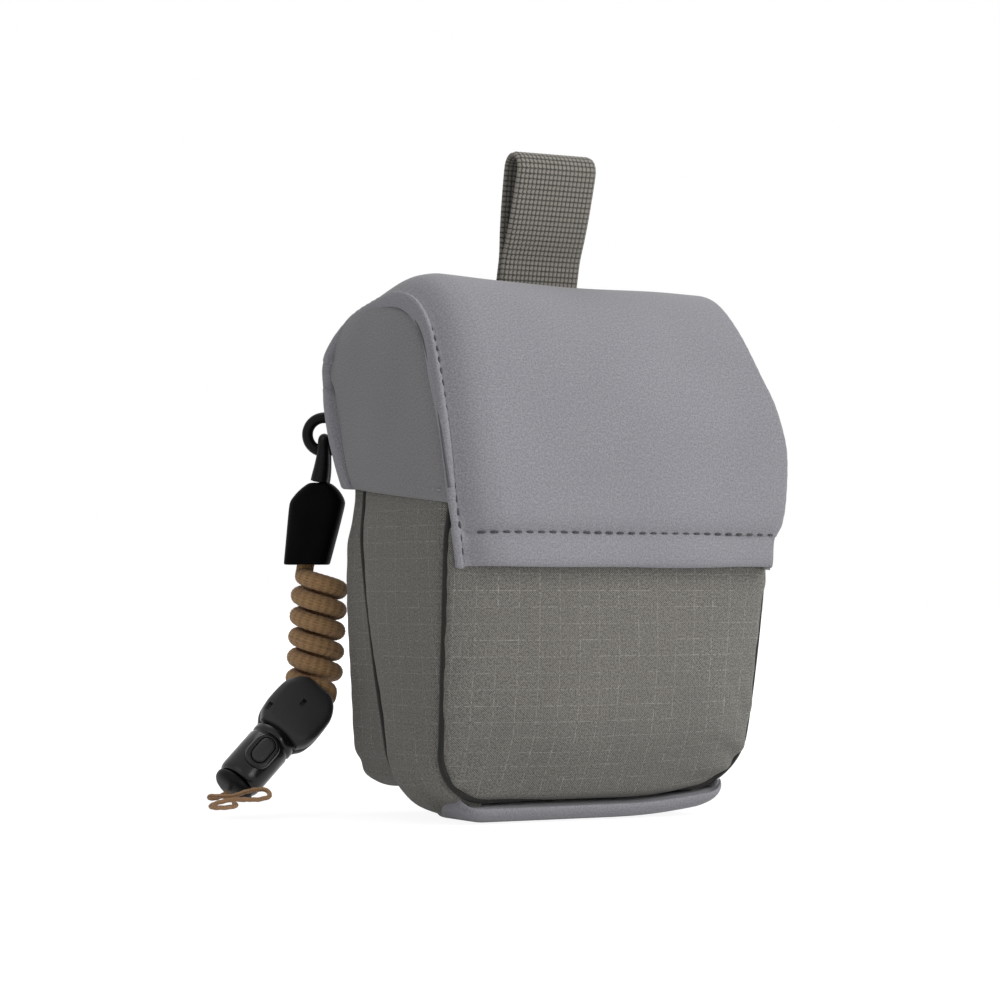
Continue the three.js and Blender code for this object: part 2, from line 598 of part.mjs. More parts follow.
cordLine.forEach((p, i) => cordLine.forEach((q, j) => {
  if ((j - i) * cordStep > 2.5 * CORD_D) leastGap = Math.min(leastGap, p.distanceTo(q) - CORD_D);
}));
console.log(`least gap between curls ${leastGap.toFixed(2)} mm`);
console.log(`coiled cord length ${(CORD_POINTS * cordStep).toFixed(0)} mm`);

// Clamp, release socket, button and plug share one slanting axis
const local = new THREE.Matrix4().makeBasis(AXIS, SIDE, FACE).setPosition(CLAMP_AT);
const turned = (geometry) => geometry.applyMatrix4(local);
const clampHalf = [[0, 3.4], [2, 5.2], [5, 7.6], [9, 8.6], [13, 8.2], [16, 7], [CLAMP_L, 5.9]];
const clampOutline = [...clampHalf, ...clampHalf.toReversed().map(([a, b]) => [a, -b])];
const clampShape = new THREE.Shape(clampOutline.map(([a, b]) => new THREE.Vector2(a, b)));
const CLAMP_EDGE = {
  bevelEnabled: true, bevelSize: 0.9, bevelThickness: 0.7, bevelSegments: 2, bevelOffset: -0.9,
};
const clampPlate = (height) => {
  const depth = CLAMP_T - 2 * CLAMP_EDGE.bevelThickness;
  const plate = new THREE.ExtrudeGeometry(clampShape, { depth, ...CLAMP_EDGE });
  return solid(turned(plate.translate(0, 0, height + CLAMP_EDGE.bevelThickness)));
};
const channelR = CORD_D / 2 + 0.4;
const cordChannel = new THREE.CylinderGeometry(channelR, channelR, 14, 16).rotateZ(Math.PI / 2);
const channel = solid(turned(cordChannel.translate(3.6, 0, 0)));
const slot = (a, b) => solid(turned(new THREE.BoxGeometry(2, 1, 1.4).translate(a, b, CLAMP_T + GAP / 2)));
const clampFront = clampPlate(GAP / 2).subtract(channel).subtract(slot(5.5, 5)).subtract(slot(10.5, -5));
add('clamp_front', clampFront, CHARCOAL, 0.1, 0.5);
add('clamp_rear', clampPlate(-CLAMP_T - GAP / 2).subtract(channel), CHARCOAL, 0.1, 0.5);

const S0 = CLAMP_L + GAP;
const S1 = S0 + SOCKET_L;
const grooveR = SOCKET_R - 0.5;
const socketProfile = [
  [0, S0], [SOCKET_R - 0.9, S0], [SOCKET_R, S0 + 0.7], [SOCKET_R, S0 + 2.4], [grooveR, S0 + 2.7],
  [grooveR, S0 + 3.3], [SOCKET_R, S0 + 3.6], [SOCKET_R, S1 - 1], [SOCKET_R - 0.9, S1],
  [PLUG_R + 0.4, S1], [PLUG_R + 0.4, S1 - 6], [0, S1 - 6],
];
const spun = (profile, sides) => {
  const lathe = new THREE.LatheGeometry(profile.map(([r, a]) => new THREE.Vector2(r, a)), sides);
  return turned(lathe.rotateZ(-Math.PI / 2));
};
const stadium = (halfLength, r) => {
  const shape = new THREE.Shape();
  shape.absarc(halfLength, 0, r, -Math.PI / 2, Math.PI / 2);
  shape.absarc(-halfLength, 0, r, Math.PI / 2, (3 * Math.PI) / 2);
  return shape;
};
const post = (r, n0, n1) => turned(new THREE.ExtrudeGeometry(
  stadium(BUTTON_L / 2, r), { depth: n1 - n0, bevelEnabled: false, curveSegments: 5 },
).translate(BUTTON_A, 0, n0));
const socket = solid(spun(socketProfile, 20)).add(solid(post(BUTTON_R + 1.3, 3.5, SOCKET_R + 0.4)))
  .subtract(solid(post(BUTTON_R + GAP, 1.6, SOCKET_R + 2)));
add('release_socket', socket, BLACK, 0.1, 0.35);
add('release_button', post(BUTTON_R, 3.4, SOCKET_R + 0.9), CHARCOAL, 0.1, 0.4);
const plugProfile = [
  [0, S1 - 5.4], [PLUG_R - 0.4, S1 - 5.4], [PLUG_R, S1 - 5], [PLUG_R, S1 + GAP], [PLUG_R + 1.4, S1 + GAP],
  [PLUG_R + 1.7, S1 + 0.7], [PLUG_R + 1.5, S1 + 2.2], [PLUG_R, S1 + 3.2], [0, S1 + 3.2],
];
add('release_plug', spun(plugProfile, 20), BLACK, 0.1, 0.4);

// String bow at the plug: a thin cord led out, round three lobes and back to the plug
const bow = [
  [0, 0, 0], [-1.6, -1, 1], [-4, -2.2, 3], [-6.6, -2.6, 6], [-7.2, -1.6, 8.4], [-5, -0.9, 8.6],
  [-2, -1.2, 6.4], [1.6, -1.2, 4.6], [5, -0.4, 4.4], [7.6, -0.4, 6], [8, -1.4, 8], [5.6, -2.2, 8.6],
  [2, -2.3, 8], [-1.6, -2.6, 8.6],
  [-4.6, -2.7, 10.4], [-5.6, -2.9, 13], [-4, -3, 15.4], [-1, -2.9, 15.8], [1, -2.6, 13.6], [0.4, -2.2, 11],
];
const plugEnd = onAxis(S1 + 3.6);
add('release_string', tube(bow.map((row) => beside(plugEnd, ...row)), STRING_D, 5, 64), TAN);

export default group;
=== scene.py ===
import math
import bmesh
import bpy
import numpy as np
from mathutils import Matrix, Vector, noise


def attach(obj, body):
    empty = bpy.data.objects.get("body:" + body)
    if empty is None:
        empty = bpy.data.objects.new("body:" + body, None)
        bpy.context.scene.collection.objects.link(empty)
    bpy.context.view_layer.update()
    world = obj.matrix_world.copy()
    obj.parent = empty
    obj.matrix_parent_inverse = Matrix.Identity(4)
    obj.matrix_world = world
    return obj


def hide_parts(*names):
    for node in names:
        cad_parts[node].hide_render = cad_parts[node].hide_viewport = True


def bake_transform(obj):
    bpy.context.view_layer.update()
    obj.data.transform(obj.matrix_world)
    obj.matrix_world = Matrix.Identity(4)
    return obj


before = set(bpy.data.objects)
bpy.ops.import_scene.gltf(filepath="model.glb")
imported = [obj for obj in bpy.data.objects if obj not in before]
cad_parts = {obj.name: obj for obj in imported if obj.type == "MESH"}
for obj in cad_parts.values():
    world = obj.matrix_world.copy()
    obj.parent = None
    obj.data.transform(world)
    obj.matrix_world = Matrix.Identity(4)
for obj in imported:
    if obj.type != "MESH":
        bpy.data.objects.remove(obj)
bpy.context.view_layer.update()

MM = 0.001

# Driving sizes of the pouch, in millimetres: those of the solids, some fitted closer to the photograph
SEAM_Z, CORNER_R, BODY_TOP, SHELL = 4.5, 15.0, 101.0, 1.4
LINER_IN, LINER_OUT = 3.8, 4.6
BODY_HALF = [[4.5, 46], [20, 47], [49, 48.4], [72, 48.8], [82, 47.5], [101, 45.8]]
FRONT_SEAM = [
    [4.5, -14], [14, -15.6], [21, -17.2], [36, -19.5], [52, -21.7], [67, -23.2], [81, -23.4], [101, -20.6],
]
BACK_SEAM = [[4.5, 11], [16, 12.4], [36, 16.8], [51, 19.7], [67, 22.7], [80, 24.9], [101, 26.3]]
FRONT_CROWN = [[4.5, 5], [22, 8.4], [40, 8.2], [54, 6.4], [66, 5], [84, 3.4], [101, 2.2]]
BACK_FACE = [[4.5, 37.5], [72, 37.5], [80, 35.9], [101, 35.7]]
BACK_OUT, FRONT_ROLL, BACK_ROLL = 37.5, 23.0, 8.0
BASE_TURN, BASE_OUT, BASE_ROLL, BASE_RIM, BASE_EDGE = 34.0, 3.6, 5.0, 0.6, 1.2
LID_PROFILE = [
    [45.2, 116.8], [44.2, 125.2], [36, 134.2], [21.5, 139.3], [7, 140.5], [-5, 137.7],
    [-15, 129.7], [-22.2, 118], [-26.8, 103], [-29.9, 87], [-31.6, 74], [-31.8, 65.5],
]
# Along the lid, from its rear edge at 0 to its lip at 1: where the welts are sewn, and their width and depth
SEWN_LEFT = [
    [0, 49], [0.04, 48.6], [0.08, 47.4], [0.14, 46.1], [0.25, 46.1], [0.34, 46], [0.42, 45.6], [0.5, 45.4],
    [0.63, 46.5], [0.74, 46.4], [0.87, 46.1], [0.95, 45.3], [1, 44.6],
]
SEWN_RIGHT = [
    [0, 49.4], [0.06, 48.8], [0.2, 47.8], [0.34, 47.2], [0.45, 46.6], [0.54, 47.3], [0.63, 49.2],
    [0.69, 51.6], [0.75, 53], [0.79, 53.2], [0.87, 51.4], [0.925, 49.3], [0.953, 47.2], [1, 46.7],
]
WELT_WIDE = [[0, 1.1], [0.06, 1], [0.16, 0.5], [0.3, 0.8], [0.42, 1], [1, 1]]
WELT_DEEP = [
    [0, 3.2], [0.05, 3], [0.1, 2], [0.16, 1.4], [0.3, 3.2], [0.42, 4.5], [0.63, 4.5], [0.74, 2.8],
    [0.87, 1.8], [1, 1.5],
]
CHEEK_IN = [
    [0, 0.6], [0.1, 1.6], [0.16, 1.8], [0.3, 4.4], [0.42, 7.3], [0.63, 7.5], [0.74, 5.8], [0.87, 4.8],
    [1, 4.5],
]
CHEEK_X = {
    -1: [[81, 48.9], [95, 49.5], [104, 49.4], [114, 49.2], [126, 48.4], [138, 46.4]],
    1: [[81, 50.2], [95, 52], [104, 51.4], [114, 49.8], [126, 48.6], [138, 47.4]],
}
CHEEK_HEM, CHEEK_RISE, CHEEK_BACK, CHEEK_T, CHEEK_BULGE = 82.0, 4.8, 1.6, 1.8, 1.2
LID_T, LID_CROWN, LID_HALF, LIP_H, LIP_T = 1.2, 0.5, 50.0, 8.6, 1.6
REAR_EDGE = [
    [78, 24], [87, 29.5], [97, 33.6], [110, 37.8], [113, 39.3], [114.2, 40.9], [116, 41.8], [118, 42.4],
    [123, 43.2],
]
UPPER_OUT = [[87, 38], [93, 39.5], [102, 41.5], [110, 43.9], [114.4, 45.1]]
UPPER_HALF = [[87, 49.2], [93, 50.2], [102, 51.3], [110, 51.4], [114.4, 50.8]]
UPPER_T, UPPER_ROLL, UPPER_Z0, UPPER_Z1 = 2.0, 7.0, 87.0, 114.4
WEBBING_W, WEBBING_T, LOOP_LEAN, LOOP_H, LOOP_GAP = 23.7, 1.7, 14.0, 37.0, 5.6
LOOP_FOOT = (15.4, 141.0)
BELT_W, BELT_Z0, BELT_Z1, BELT_GAP = 34.0, 22.0, 70.0, 6.4
RING_C = np.array([-48.4, 47.2, 102.0])
RING_R, RING_WIRE, BAIL_R, BAIL_WIRE = 4.6, 1.5, 3.3, 1.6
BOOT_TOP = 88.8
CORD_D, COIL_R, COIL_TURNS, COIL_PITCH, COIL_TOP, COIL_TILT = 4.8, 5.4, 5.45, 5.6, 64.6, 0.12
# The coil's place to the right of the ring and its drift, its first turn, and how narrow and long its neck is
COIL_SHIFT, COIL_DRIFT, COIL_FIRST, COIL_NECK, COIL_OPENS = -0.9, -1.9, 0.25, 0.75, 0.6
BRAID_YARNS, BRAID_PITCH, BRAID_RELIEF = 9, 3.4, 0.08
RELEASE_Z, CLAMP_L, CLAMP_T, SOCKET_R, SOCKET_L = 32.4, 18.0, 4.9, 6.1, 17.0
BUTTON_A, BUTTON_R, BUTTON_L, PLUG_R, STRING_D, STRING_LAY = 26.2, 2.1, 1.7, 3.0, 1.3, 2.4

# Camera: level, to the left of the front, placed as in the photograph
AZIMUTH, ELEVATION, DISTANCE, LENS = -29.83, -0.69, 776.8, 105.0
TARGET = Vector((0, 0, 69))
TARGET_PX, IMAGE_PX, SENSOR = (564.4, 554.8), 1000, 36.0
FOCAL_PX = LENS / SENSOR * IMAGE_PX


def placed(name, data):
    """A new object in the scene."""
    obj = bpy.data.objects.new(name, data)
    bpy.context.scene.collection.objects.link(obj)
    return obj


def make_camera():
    az, el = math.radians(AZIMUTH), math.radians(ELEVATION)
    back = Vector((math.sin(az) * math.cos(el), -math.cos(az) * math.cos(el), math.sin(el)))
    right = Vector((math.cos(az), math.sin(az), 0))
    up = back.cross(right)
    per_px = DISTANCE / FOCAL_PX
    aim = TARGET - right * (TARGET_PX[0] - IMAGE_PX / 2) * per_px
    aim = aim + up * (TARGET_PX[1] - IMAGE_PX / 2) * per_px
    eye = TARGET + back * DISTANCE
    data = bpy.data.cameras.new("camera")
    data.lens, data.sensor_width = LENS, SENSOR
    data.clip_start, data.clip_end = 0.01, 20
    camera = placed("camera", data)
    camera.location = eye * MM
    camera.rotation_euler = (aim - eye).to_track_quat("-Z", "Y").to_euler()
    bpy.context.scene.camera = camera


make_camera()


# Shapes
def along(table, v):
    """Smooth curve through a table of (place, value), held level beyond its ends."""
    x, y = np.array(table, float).T
    v = np.asarray(v, float)
    xb = np.concatenate([[2 * x[0] - x[1]], x, [2 * x[-1] - x[-2]]])
    yb = np.concatenate([[2 * y[0] - y[1]], y, [2 * y[-1] - y[-2]]])
    i = np.clip(np.searchsorted(x, v) - 1, 0, len(x) - 2)
    x1, x2, y1, y2 = x[i], x[i + 1], y[i], y[i + 1]
    m1 = (y2 - yb[i]) / (x2 - xb[i])
    m2 = (yb[i + 3] - y1) / (xb[i + 3] - x1)
    h = x2 - x1
    t = np.clip((v - x1) / h, 0, 1)
    start = (1 + 2 * t) * (1 - t) ** 2 * y1 + t * (1 - t) ** 2 * h * m1
    return start + t * t * (3 - 2 * t) * y2 + t * t * (t - 1) * h * m2


def roll(d, width):
    """0 at an edge, rounding up to 1 at `width` in from it."""
    return np.sqrt(1 - (1 - np.clip(np.asarray(d, float) / width, 0, 1)) ** 2)


def spread(n):
    """Places from -1 to 1, closer together towards both ends."""
    return np.sin(np.pi / 2 * np.linspace(-1, 1, n + 1))


def bump_at(d, centre, width):
    return np.exp(-(((d - centre) / width) ** 2))


def ramp(v, low, high):
    """Smooth step from 0 at low to 1 at high."""
    t = np.clip((np.asarray(v, float) - low) / (high - low), 0, 1)
    return t * t * (3 - 2 * t)


def catmull(points, per_span=24):
    """Centripetal curve through points, as (n, 3) samples."""
    p = np.array(points, float)
    p = np.vstack([2 * p[0] - p[1], p, 2 * p[-1] - p[-2]])
    d = np.maximum(np.sum(np.diff(p, axis=0) ** 2, axis=1) ** 0.25, 1e-6)
    made = []
    for i in range(1, len(p) - 2):
        d0, d1, d2 = d[i - 1], d[i], d[i + 1]
        a, b, c, e = p[i - 1], p[i], p[i + 1], p[i + 2]
        m1 = ((b - a) / d0 - (c - a) / (d0 + d1) + (c - b) / d1) * d1
        m2 = ((c - b) / d1 - (e - b) / (d1 + d2) + (e - c) / d2) * d1
        t = np.linspace(0, 1, per_span, endpoint=False)[:, None]
        made.append((1 + 2 * t) * (1 - t) ** 2 * b + t * (1 - t) ** 2 * m1
                    + t * t * (3 - 2 * t) * c + t * t * (t - 1) * m2)
    return np.vstack(made + [p[-2:-1]])


def length_of(line):
    return np.concatenate([[0], np.cumsum(np.linalg.norm(np.diff(line, axis=0), axis=1))])


def even(line, count):
    """The line again, as count points at even steps."""
    at = length_of(line)
    where = np.linspace(0, at[-1], count)
    return np.stack([np.interp(where, at, line[:, k]) for k in range(3)], axis=1)


def unit(v):
    return v / np.maximum(np.linalg.norm(v, axis=-1, keepdims=True), 1e-9)


def normals_of(p):
    return unit(np.cross(np.gradient(p, axis=1), np.gradient(p, axis=0)))


def soft(p, n, height, size, seed):
    """Points moved along their normals by a smooth unevenness."""
    flat = p.reshape(-1, 3)
    move = np.array([noise.noise(Vector(q / size) + Vector((seed, 0, 0))) for q in flat])
    return p + n * (height * move).reshape(p.shape[:-1])[..., None]


# Meshes
def carry(obj, body, nodes=()):
    """Says which body a piece rides, which solids it stands for."""
    if body:
        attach(obj, body)
    if nodes:
        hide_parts(*nodes)
    return obj


def link(name, points, faces, uv, material, body, nodes=(), slot=None, levels=0, flat=False):
    """A piece of the scene from points in millimetres."""
    mesh = bpy.data.meshes.new(name)
    mesh.from_pydata((np.asarray(points) * MM).tolist(), [], faces)
    if uv is not None:
        layer = mesh.uv_layers.new(name="UVMap")
        loops = np.zeros(len(mesh.loops), np.int32)
        mesh.loops.foreach_get("vertex_index", loops)
        layer.data.foreach_set("uv", (np.asarray(uv)[loops] * MM).astype(np.float32).ravel())
    work = bmesh.new()
    work.from_mesh(mesh)
    bmesh.ops.recalc_face_normals(work, faces=work.faces)
    work.to_mesh(mesh)
    work.free()
    if flat:
        mesh.shade_flat()
    else:
        mesh.shade_smooth()
    mesh.materials.append(material)
    obj = placed(name, mesh)
    if levels:
        subdivide = obj.modifiers.new("smooth", "SUBSURF")
        subdivide.levels = subdivide.render_levels = levels
    return carry(obj, body, nodes)


def quads(number):
    """Four-sided faces between the neighbours in a grid of point numbers."""
    corners = number[:-1, :-1], number[:-1, 1:], number[1:, 1:], number[1:, :-1]
    return np.stack(corners, axis=-1).reshape(-1, 4)


def band(rows, cols, closed=0):
    """Faces over a stack of rings of `cols` points; closed is 1 where the last ring joins the first."""
    number = np.arange(rows * cols).reshape(rows, cols)
    return quads(np.pad(number, ((0, closed), (0, 1)), mode="wrap")).tolist()


def arc_uv(p):
    """Cloth coordinates of a grid in millimetres: across from the middle column, and along it."""
    steps = np.linalg.norm(np.diff(p, axis=1), axis=2)
    across = np.concatenate([np.zeros((len(p), 1)), np.cumsum(steps, axis=1)], axis=1)
    middle = p.shape[1] // 2
    across -= across[:, middle:middle + 1]
    down = length_of(p[:, middle])
    return np.stack([across, np.broadcast_to(down[:, None], across.shape)], axis=2)


def slab(p, n, thick, rim=0.45):
    """Closed sheet: the grid p, an inner grid `thick` behind it, and a rounded rim between them."""
    rows, cols = p.shape[:2]
    half = rows * cols
    number = np.arange(half).reshape(rows, cols)
    edge = np.concatenate([number[0], number[1:, -1], number[-1, -2::-1], number[-2:0:-1, 0]])
    row, col = np.divmod(edge, cols)
    inside = np.clip(row, 1, rows - 2) * cols + np.clip(col, 1, cols - 2)
    outer = p.reshape(-1, 3)
    inner = (p - n * np.broadcast_to(thick, p.shape[:2])[..., None]).reshape(-1, 3)
    deep = np.linalg.norm(outer[edge] - inner[edge], axis=1)[:, None]
    rounded = (outer[edge] + inner[edge]) / 2 + unit(outer[edge] - outer[inside]) * deep * rim
    skin = quads(number)
    both = np.stack([skin, half + skin[:, [0, 3, 2, 1]]], axis=1).reshape(-1, 4)
    around = np.stack([edge, 2 * half + np.arange(len(edge)), half + edge], axis=1)
    faces = np.vstack([both, quads(np.vstack([around, around[:1]]))]).tolist()
    cloth = arc_uv(p).reshape(-1, 2)
    return np.vstack([outer, inner, rounded]), faces, np.vstack([cloth, cloth, cloth[edge]])


def outward(p, towards):
    """Normals of a grid, on the side that its middle shows to `towards`."""
    n = normals_of(p)
    middle = n[n.shape[0] // 2, n.shape[1] // 2]
    return n if middle @ np.asarray(towards, float) > 0 else -n


def tube(line, radius, sides):
    """Round tube on a line; radius is a number or a function of (angle, millimetres along)."""
    t = unit(np.gradient(line, axis=0))
    first = np.cross(t[0], [0.31, 0.47, 0.83])
    frames = [first / np.linalg.norm(first)]
    for k in range(1, len(line)):
        v = frames[-1] - t[k] * (frames[-1] @ t[k])
        frames.append(v / np.linalg.norm(v))
    u = np.array(frames)
    w = np.cross(t, u)
    a = np.linspace(0, 2 * np.pi, sides, endpoint=False)
    at = length_of(line)
    grid_a, grid_s = np.meshgrid(a, at)
    r = radius(grid_a, grid_s) if callable(radius) else np.full(grid_a.shape, radius)
    ring = u[:, None] * np.cos(grid_a)[..., None] + w[:, None] * np.sin(grid_a)[..., None]
    p = line[:, None] + ring * r[..., None]
    points = np.vstack([p.reshape(-1, 3), line[:1], line[-1:]])
    count = len(line)
    faces = band(count, sides)
    for i in range(sides):
        k = (i + 1) % sides
        faces.append((k, i, count * sides))
        faces.append(((count - 1) * sides + i, (count - 1) * sides + k, count * sides + 1))
    mean = float(np.mean(r))
    uv = np.stack([grid_a * mean, grid_s], axis=2).reshape(-1, 2)
    return points, faces, np.vstack([uv, [[0, 0], [0, at[-1]]]])


def rings(loops, caps=(True, True)):
    """Closed skin over a list of rings, each an (n, 3) array."""
    n, count = len(loops[0]), len(loops)
    p = np.array(loops)
    faces = band(count, n)
    points = [p.reshape(-1, 3)]
    around = length_of(p[count // 2])
    down = length_of(p[:, 0])
    uv = [np.stack(np.broadcast_arrays(around[None], down[:, None]), axis=2).reshape(-1, 2)]
    total = n * count
    for wanted, j in zip(caps, (0, count - 1)):
        if wanted:
            points.append(p[j].mean(0)[None])
            uv.append(np.array([[0.0, down[j]]]))
            for i in range(n):
                k = (i + 1) % n
                faces.append((j * n + i, j * n + k, total))
            total += 1
    return np.vstack(points), faces, np.vstack(uv)


STITCH_SIDES = 8
# A stitch: place along it, thickness and drop of its centre, as shares of its length and radius
STITCH_FORM = [
    (-0.5, 0.25, -1.0), (-0.42, 0.75, -0.45), (-0.2, 1.0, 0.0),
    (0.2, 1.0, 0.0), (0.42, 0.75, -0.45), (0.5, 0.25, -1.0),
]
STITCH_SINK = 0.1
# Rows of stitches: pitch, length of a stitch and its radius
LID_STITCH, MOUTH_STITCH = (3.3, 2.2, 0.36), (3.2, 2.2, 0.3)
CHEEK_STITCH, BELT_STITCH = (2.4, 1.5, 0.26), (2.6, 1.9, 0.3)


def sample(line, places, s):
    return np.array([np.interp(s, places, line[:, k]) for k in range(3)])


def thread(line, normals, pitch, stitch, radius):
    """A row of sewn stitches on a line: short rounded bars, each pulled in at both ends."""
    places = length_of(line)
    count = int(places[-1] / pitch)
    points, faces = [], []
    a = np.linspace(0, 2 * np.pi, STITCH_SIDES, endpoint=False)
    last = (len(STITCH_FORM) - 1) * STITCH_SIDES
    ends = [list(range(first, first + STITCH_SIDES)) for first in (0, last)]
    bar = band(len(STITCH_FORM), STITCH_SIDES) + ends
    for k in range(count):
        s = (k + 0.5) * places[-1] / count
        c, e0, e1 = (sample(line, places, v) for v in (s, s - stitch / 2, s + stitch / 2))
        t = unit(e1 - e0)
        n = unit(sample(normals, places, s))
        b = np.cross(t, n)
        faces += [[len(points) + i for i in face] for face in bar]
        for f, w, drop in STITCH_FORM:
            centre = c + t * f * stitch + n * (radius * drop - STITCH_SINK)
            points.extend(centre + radius * w * (np.cos(x) * b + np.sin(x) * n) for x in a)
    points = np.array(points)
    return points, faces, np.stack([points[:, 0] + points[:, 1], points[:, 2]], axis=1)


# Materials, and the pitch of the webbing's weave across and along it
WEAVE_U, WEAVE_V = 1.25, 1.4


def linear(*srgb):
    """A colour of three 8-bit values, as the linear colour that a node takes."""
    c = [v / 255 for v in srgb]
    return tuple(v / 12.92 if v <= 0.04045 else ((v + 0.055) / 1.055) ** 2.4 for v in c) + (1.0,)


class Nodes:
    """The node tree of a material or a world, emptied, with short names for the nodes used here."""

    def __init__(self, owner):
        owner.use_nodes = True
        self.tree = owner.node_tree
        self.tree.nodes.clear()

    def node(self, kind):
        return self.tree.nodes.new("ShaderNode" + kind)

    def join(self, a, b):
        self.tree.links.new(a, b)

    def put(self, socket, value):
        """Sets a socket from a node's output, an sRGB colour or a number."""
        if hasattr(value, "is_output"):
            self.join(value, socket)
        else:
            socket.default_value = linear(*value) if isinstance(value, tuple) else value

    def uv(self):
        split = self.node("SeparateXYZ")
        self.join(self.node("UVMap").outputs[0], split.inputs[0])
        return self.times(split.outputs[0], 1 / MM), self.times(split.outputs[1], 1 / MM)

    def place(self):
        return self.node("TexCoord").outputs["Object"]

    def calc(self, kind, a, b=0.0):
        node = self.node("Math")
        node.operation = kind
        self.put(node.inputs[0], a)
        self.put(node.inputs[1], b)
        return node.outputs[0]

    def times(self, a, b):
        return self.calc("MULTIPLY", a, b)

    def plus(self, a, b):
        return self.calc("ADD", a, b)

    def step(self, v, low, high, out_low=0.0, out_high=1.0):
        node = self.node("MapRange")
        node.interpolation_type = "SMOOTHSTEP"
        self.put(node.inputs[0], v)
        for i, x in enumerate((low, high, out_low, out_high), 1):
            node.inputs[i].default_value = x
        return node.outputs[0]

    def point(self, x, y, z=0.0):
        node = self.node("CombineXYZ")
        for i, v in enumerate((x, y, z)):
            self.put(node.inputs[i], v)
        return node.outputs[0]

    def cloud(self, where, size_mm, detail=2.0, in_mm=False):
        """Noise with patches of a size; the place it is read at is in metres, or in millimetres."""
        node = self.node("TexNoise")
        self.join(where, node.inputs["Vector"])
        node.inputs["Scale"].default_value = (1.0 if in_mm else 1 / MM) / size_mm
        node.inputs["Detail"].default_value = detail
        return node.outputs[0]

    def wave(self, v, pitch):
        return self.calc("SINE", self.times(v, 2 * math.pi / pitch))

    def line(self, v, pitch, width):
        """1 on a thin line at each pitch, 0 between."""
        return self.step(self.calc("PINGPONG", v, pitch / 2), width / 2, 0.0)

    def mix(self, share, a, b):
        node = self.node("Mix")
        node.data_type = "RGBA"
        self.put(node.inputs[0], share)
        self.put(node.inputs[6], a)
        self.put(node.inputs[7], b)
        return node.outputs[2]


class Shader(Nodes):
    """A procedural material."""

    def __init__(self, name, sheen=0.0, specular=0.5):
        self.material = bpy.data.materials.new(name)
        super().__init__(self.material)
        self.skin = self.node("BsdfPrincipled")
        self.skin.inputs["Sheen Weight"].default_value = sheen
        self.skin.inputs["Sheen Roughness"].default_value = 0.6
        self.skin.inputs["Specular IOR Level"].default_value = specular
        self.join(self.skin.outputs[0], self.node("OutputMaterial").inputs["Surface"])

    def bump(self, height, depth_mm, strength):
        node = self.node("Bump")
        node.inputs["Strength"].default_value = strength
        node.inputs["Distance"].default_value = depth_mm * MM
        self.join(height, node.inputs["Height"])
        self.join(node.outputs[0], self.skin.inputs["Normal"])

    def finish(self, colour, rough):
        self.put(self.skin.inputs["Base Color"], colour)
        self.put(self.skin.inputs["Roughness"], rough)
        return self.material


def knit(name, base, light, dark):
    """Foam sheet faced with a very fine knit: even, with a faint soft nap."""
    m = Shader(name, sheen=0.2, specular=0.25)
    u, v = m.uv()
    where = m.point(u, v)
    loops = m.times(m.wave(u, 0.66), m.wave(v, 0.54))
    nap = m.cloud(where, 0.45, 3.0, True)
    speck = m.cloud(where, 0.7, 2.0, True)
    patch = m.cloud(m.place(), 34.0, 2.0)
    colour = m.mix(m.step(patch, 0.25, 0.75, 0.0, 0.3), base, light)
    colour = m.mix(m.step(nap, 0.34, 0.66, 0.6, 0.0), colour, dark)
    colour = m.mix(m.step(speck, 0.45, 0.75, 0.0, 0.4), colour, light)
    height = m.plus(m.times(loops, 0.3), nap)
    m.bump(height, 0.045, 0.6)
    return m.finish(colour, m.step(nap, 0.2, 0.8, 0.92, 0.8))


def ripstop(name, base, light, dark):
    """Plain weave with a broken grid of heavier, lighter threads."""
    m = Shader(name, sheen=0.1, specular=0.3)
    u, v = m.uv()
    where = m.point(u, v)
    weave = m.times(m.wave(u, 0.6), m.wave(v, 0.6))
    fleck = m.cloud(where, 0.5, 2.0, True)
    slub = m.cloud(m.point(m.times(u, 3.0), m.times(v, 0.35)), 1.6, 2.0, True)
    broken = m.step(m.cloud(where, 0.8, 1.0, True), 0.42, 0.62)
    faint = m.step(m.cloud(where, 9.0, 2.0, True), 0.3, 0.7, 0.35, 1.0)
    grid = m.calc("MAXIMUM", m.line(u, 5.8, 0.5), m.line(v, 4.2, 0.4))
    dots = m.times(m.times(grid, broken), faint)
    patch = m.cloud(m.place(), 30.0, 3.0)
    colour = m.mix(m.step(patch, 0.3, 0.7, 0.0, 0.25), base, dark)
    colour = m.mix(m.step(fleck, 0.4, 0.62, 0.0, 1.0), colour, dark)
    colour = m.mix(m.step(slub, 0.5, 0.8, 0.0, 0.14), colour, light)
    colour = m.mix(m.step(weave, -0.4, 0.9, 0.0, 0.5), colour, light)
    colour = m.mix(m.times(dots, 0.8), colour, light)
    height = m.plus(m.times(weave, 0.35), m.times(grid, 0.55))
    m.bump(height, 0.12, 0.8)
    return m.finish(colour, m.step(fleck, 0.2, 0.8, 0.74, 0.9))


def webbing(name, base, light, dark):
    """Woven strap: lighter thread crowns, dark between them."""
    m = Shader(name, sheen=0.1, specular=0.3)
    u, v = m.uv()
    cell = m.times(m.wave(u, 2 * WEAVE_U), m.wave(v, 2 * WEAVE_V))
    crown = m.step(m.calc("ABSOLUTE", cell), 0.02, 0.7)
    fibre = m.cloud(m.point(m.times(u, 3.0), v), 0.5, 3.0, True)
    colour = m.mix(crown, dark, base)
    colour = m.mix(m.step(fibre, 0.45, 0.8, 0.0, 0.5), colour, light)
    m.bump(m.plus(m.times(crown, 0.6), m.times(fibre, 0.4)), 0.14, 0.8)
    return m.finish(colour, m.step(fibre, 0.2, 0.8, 0.7, 0.9))


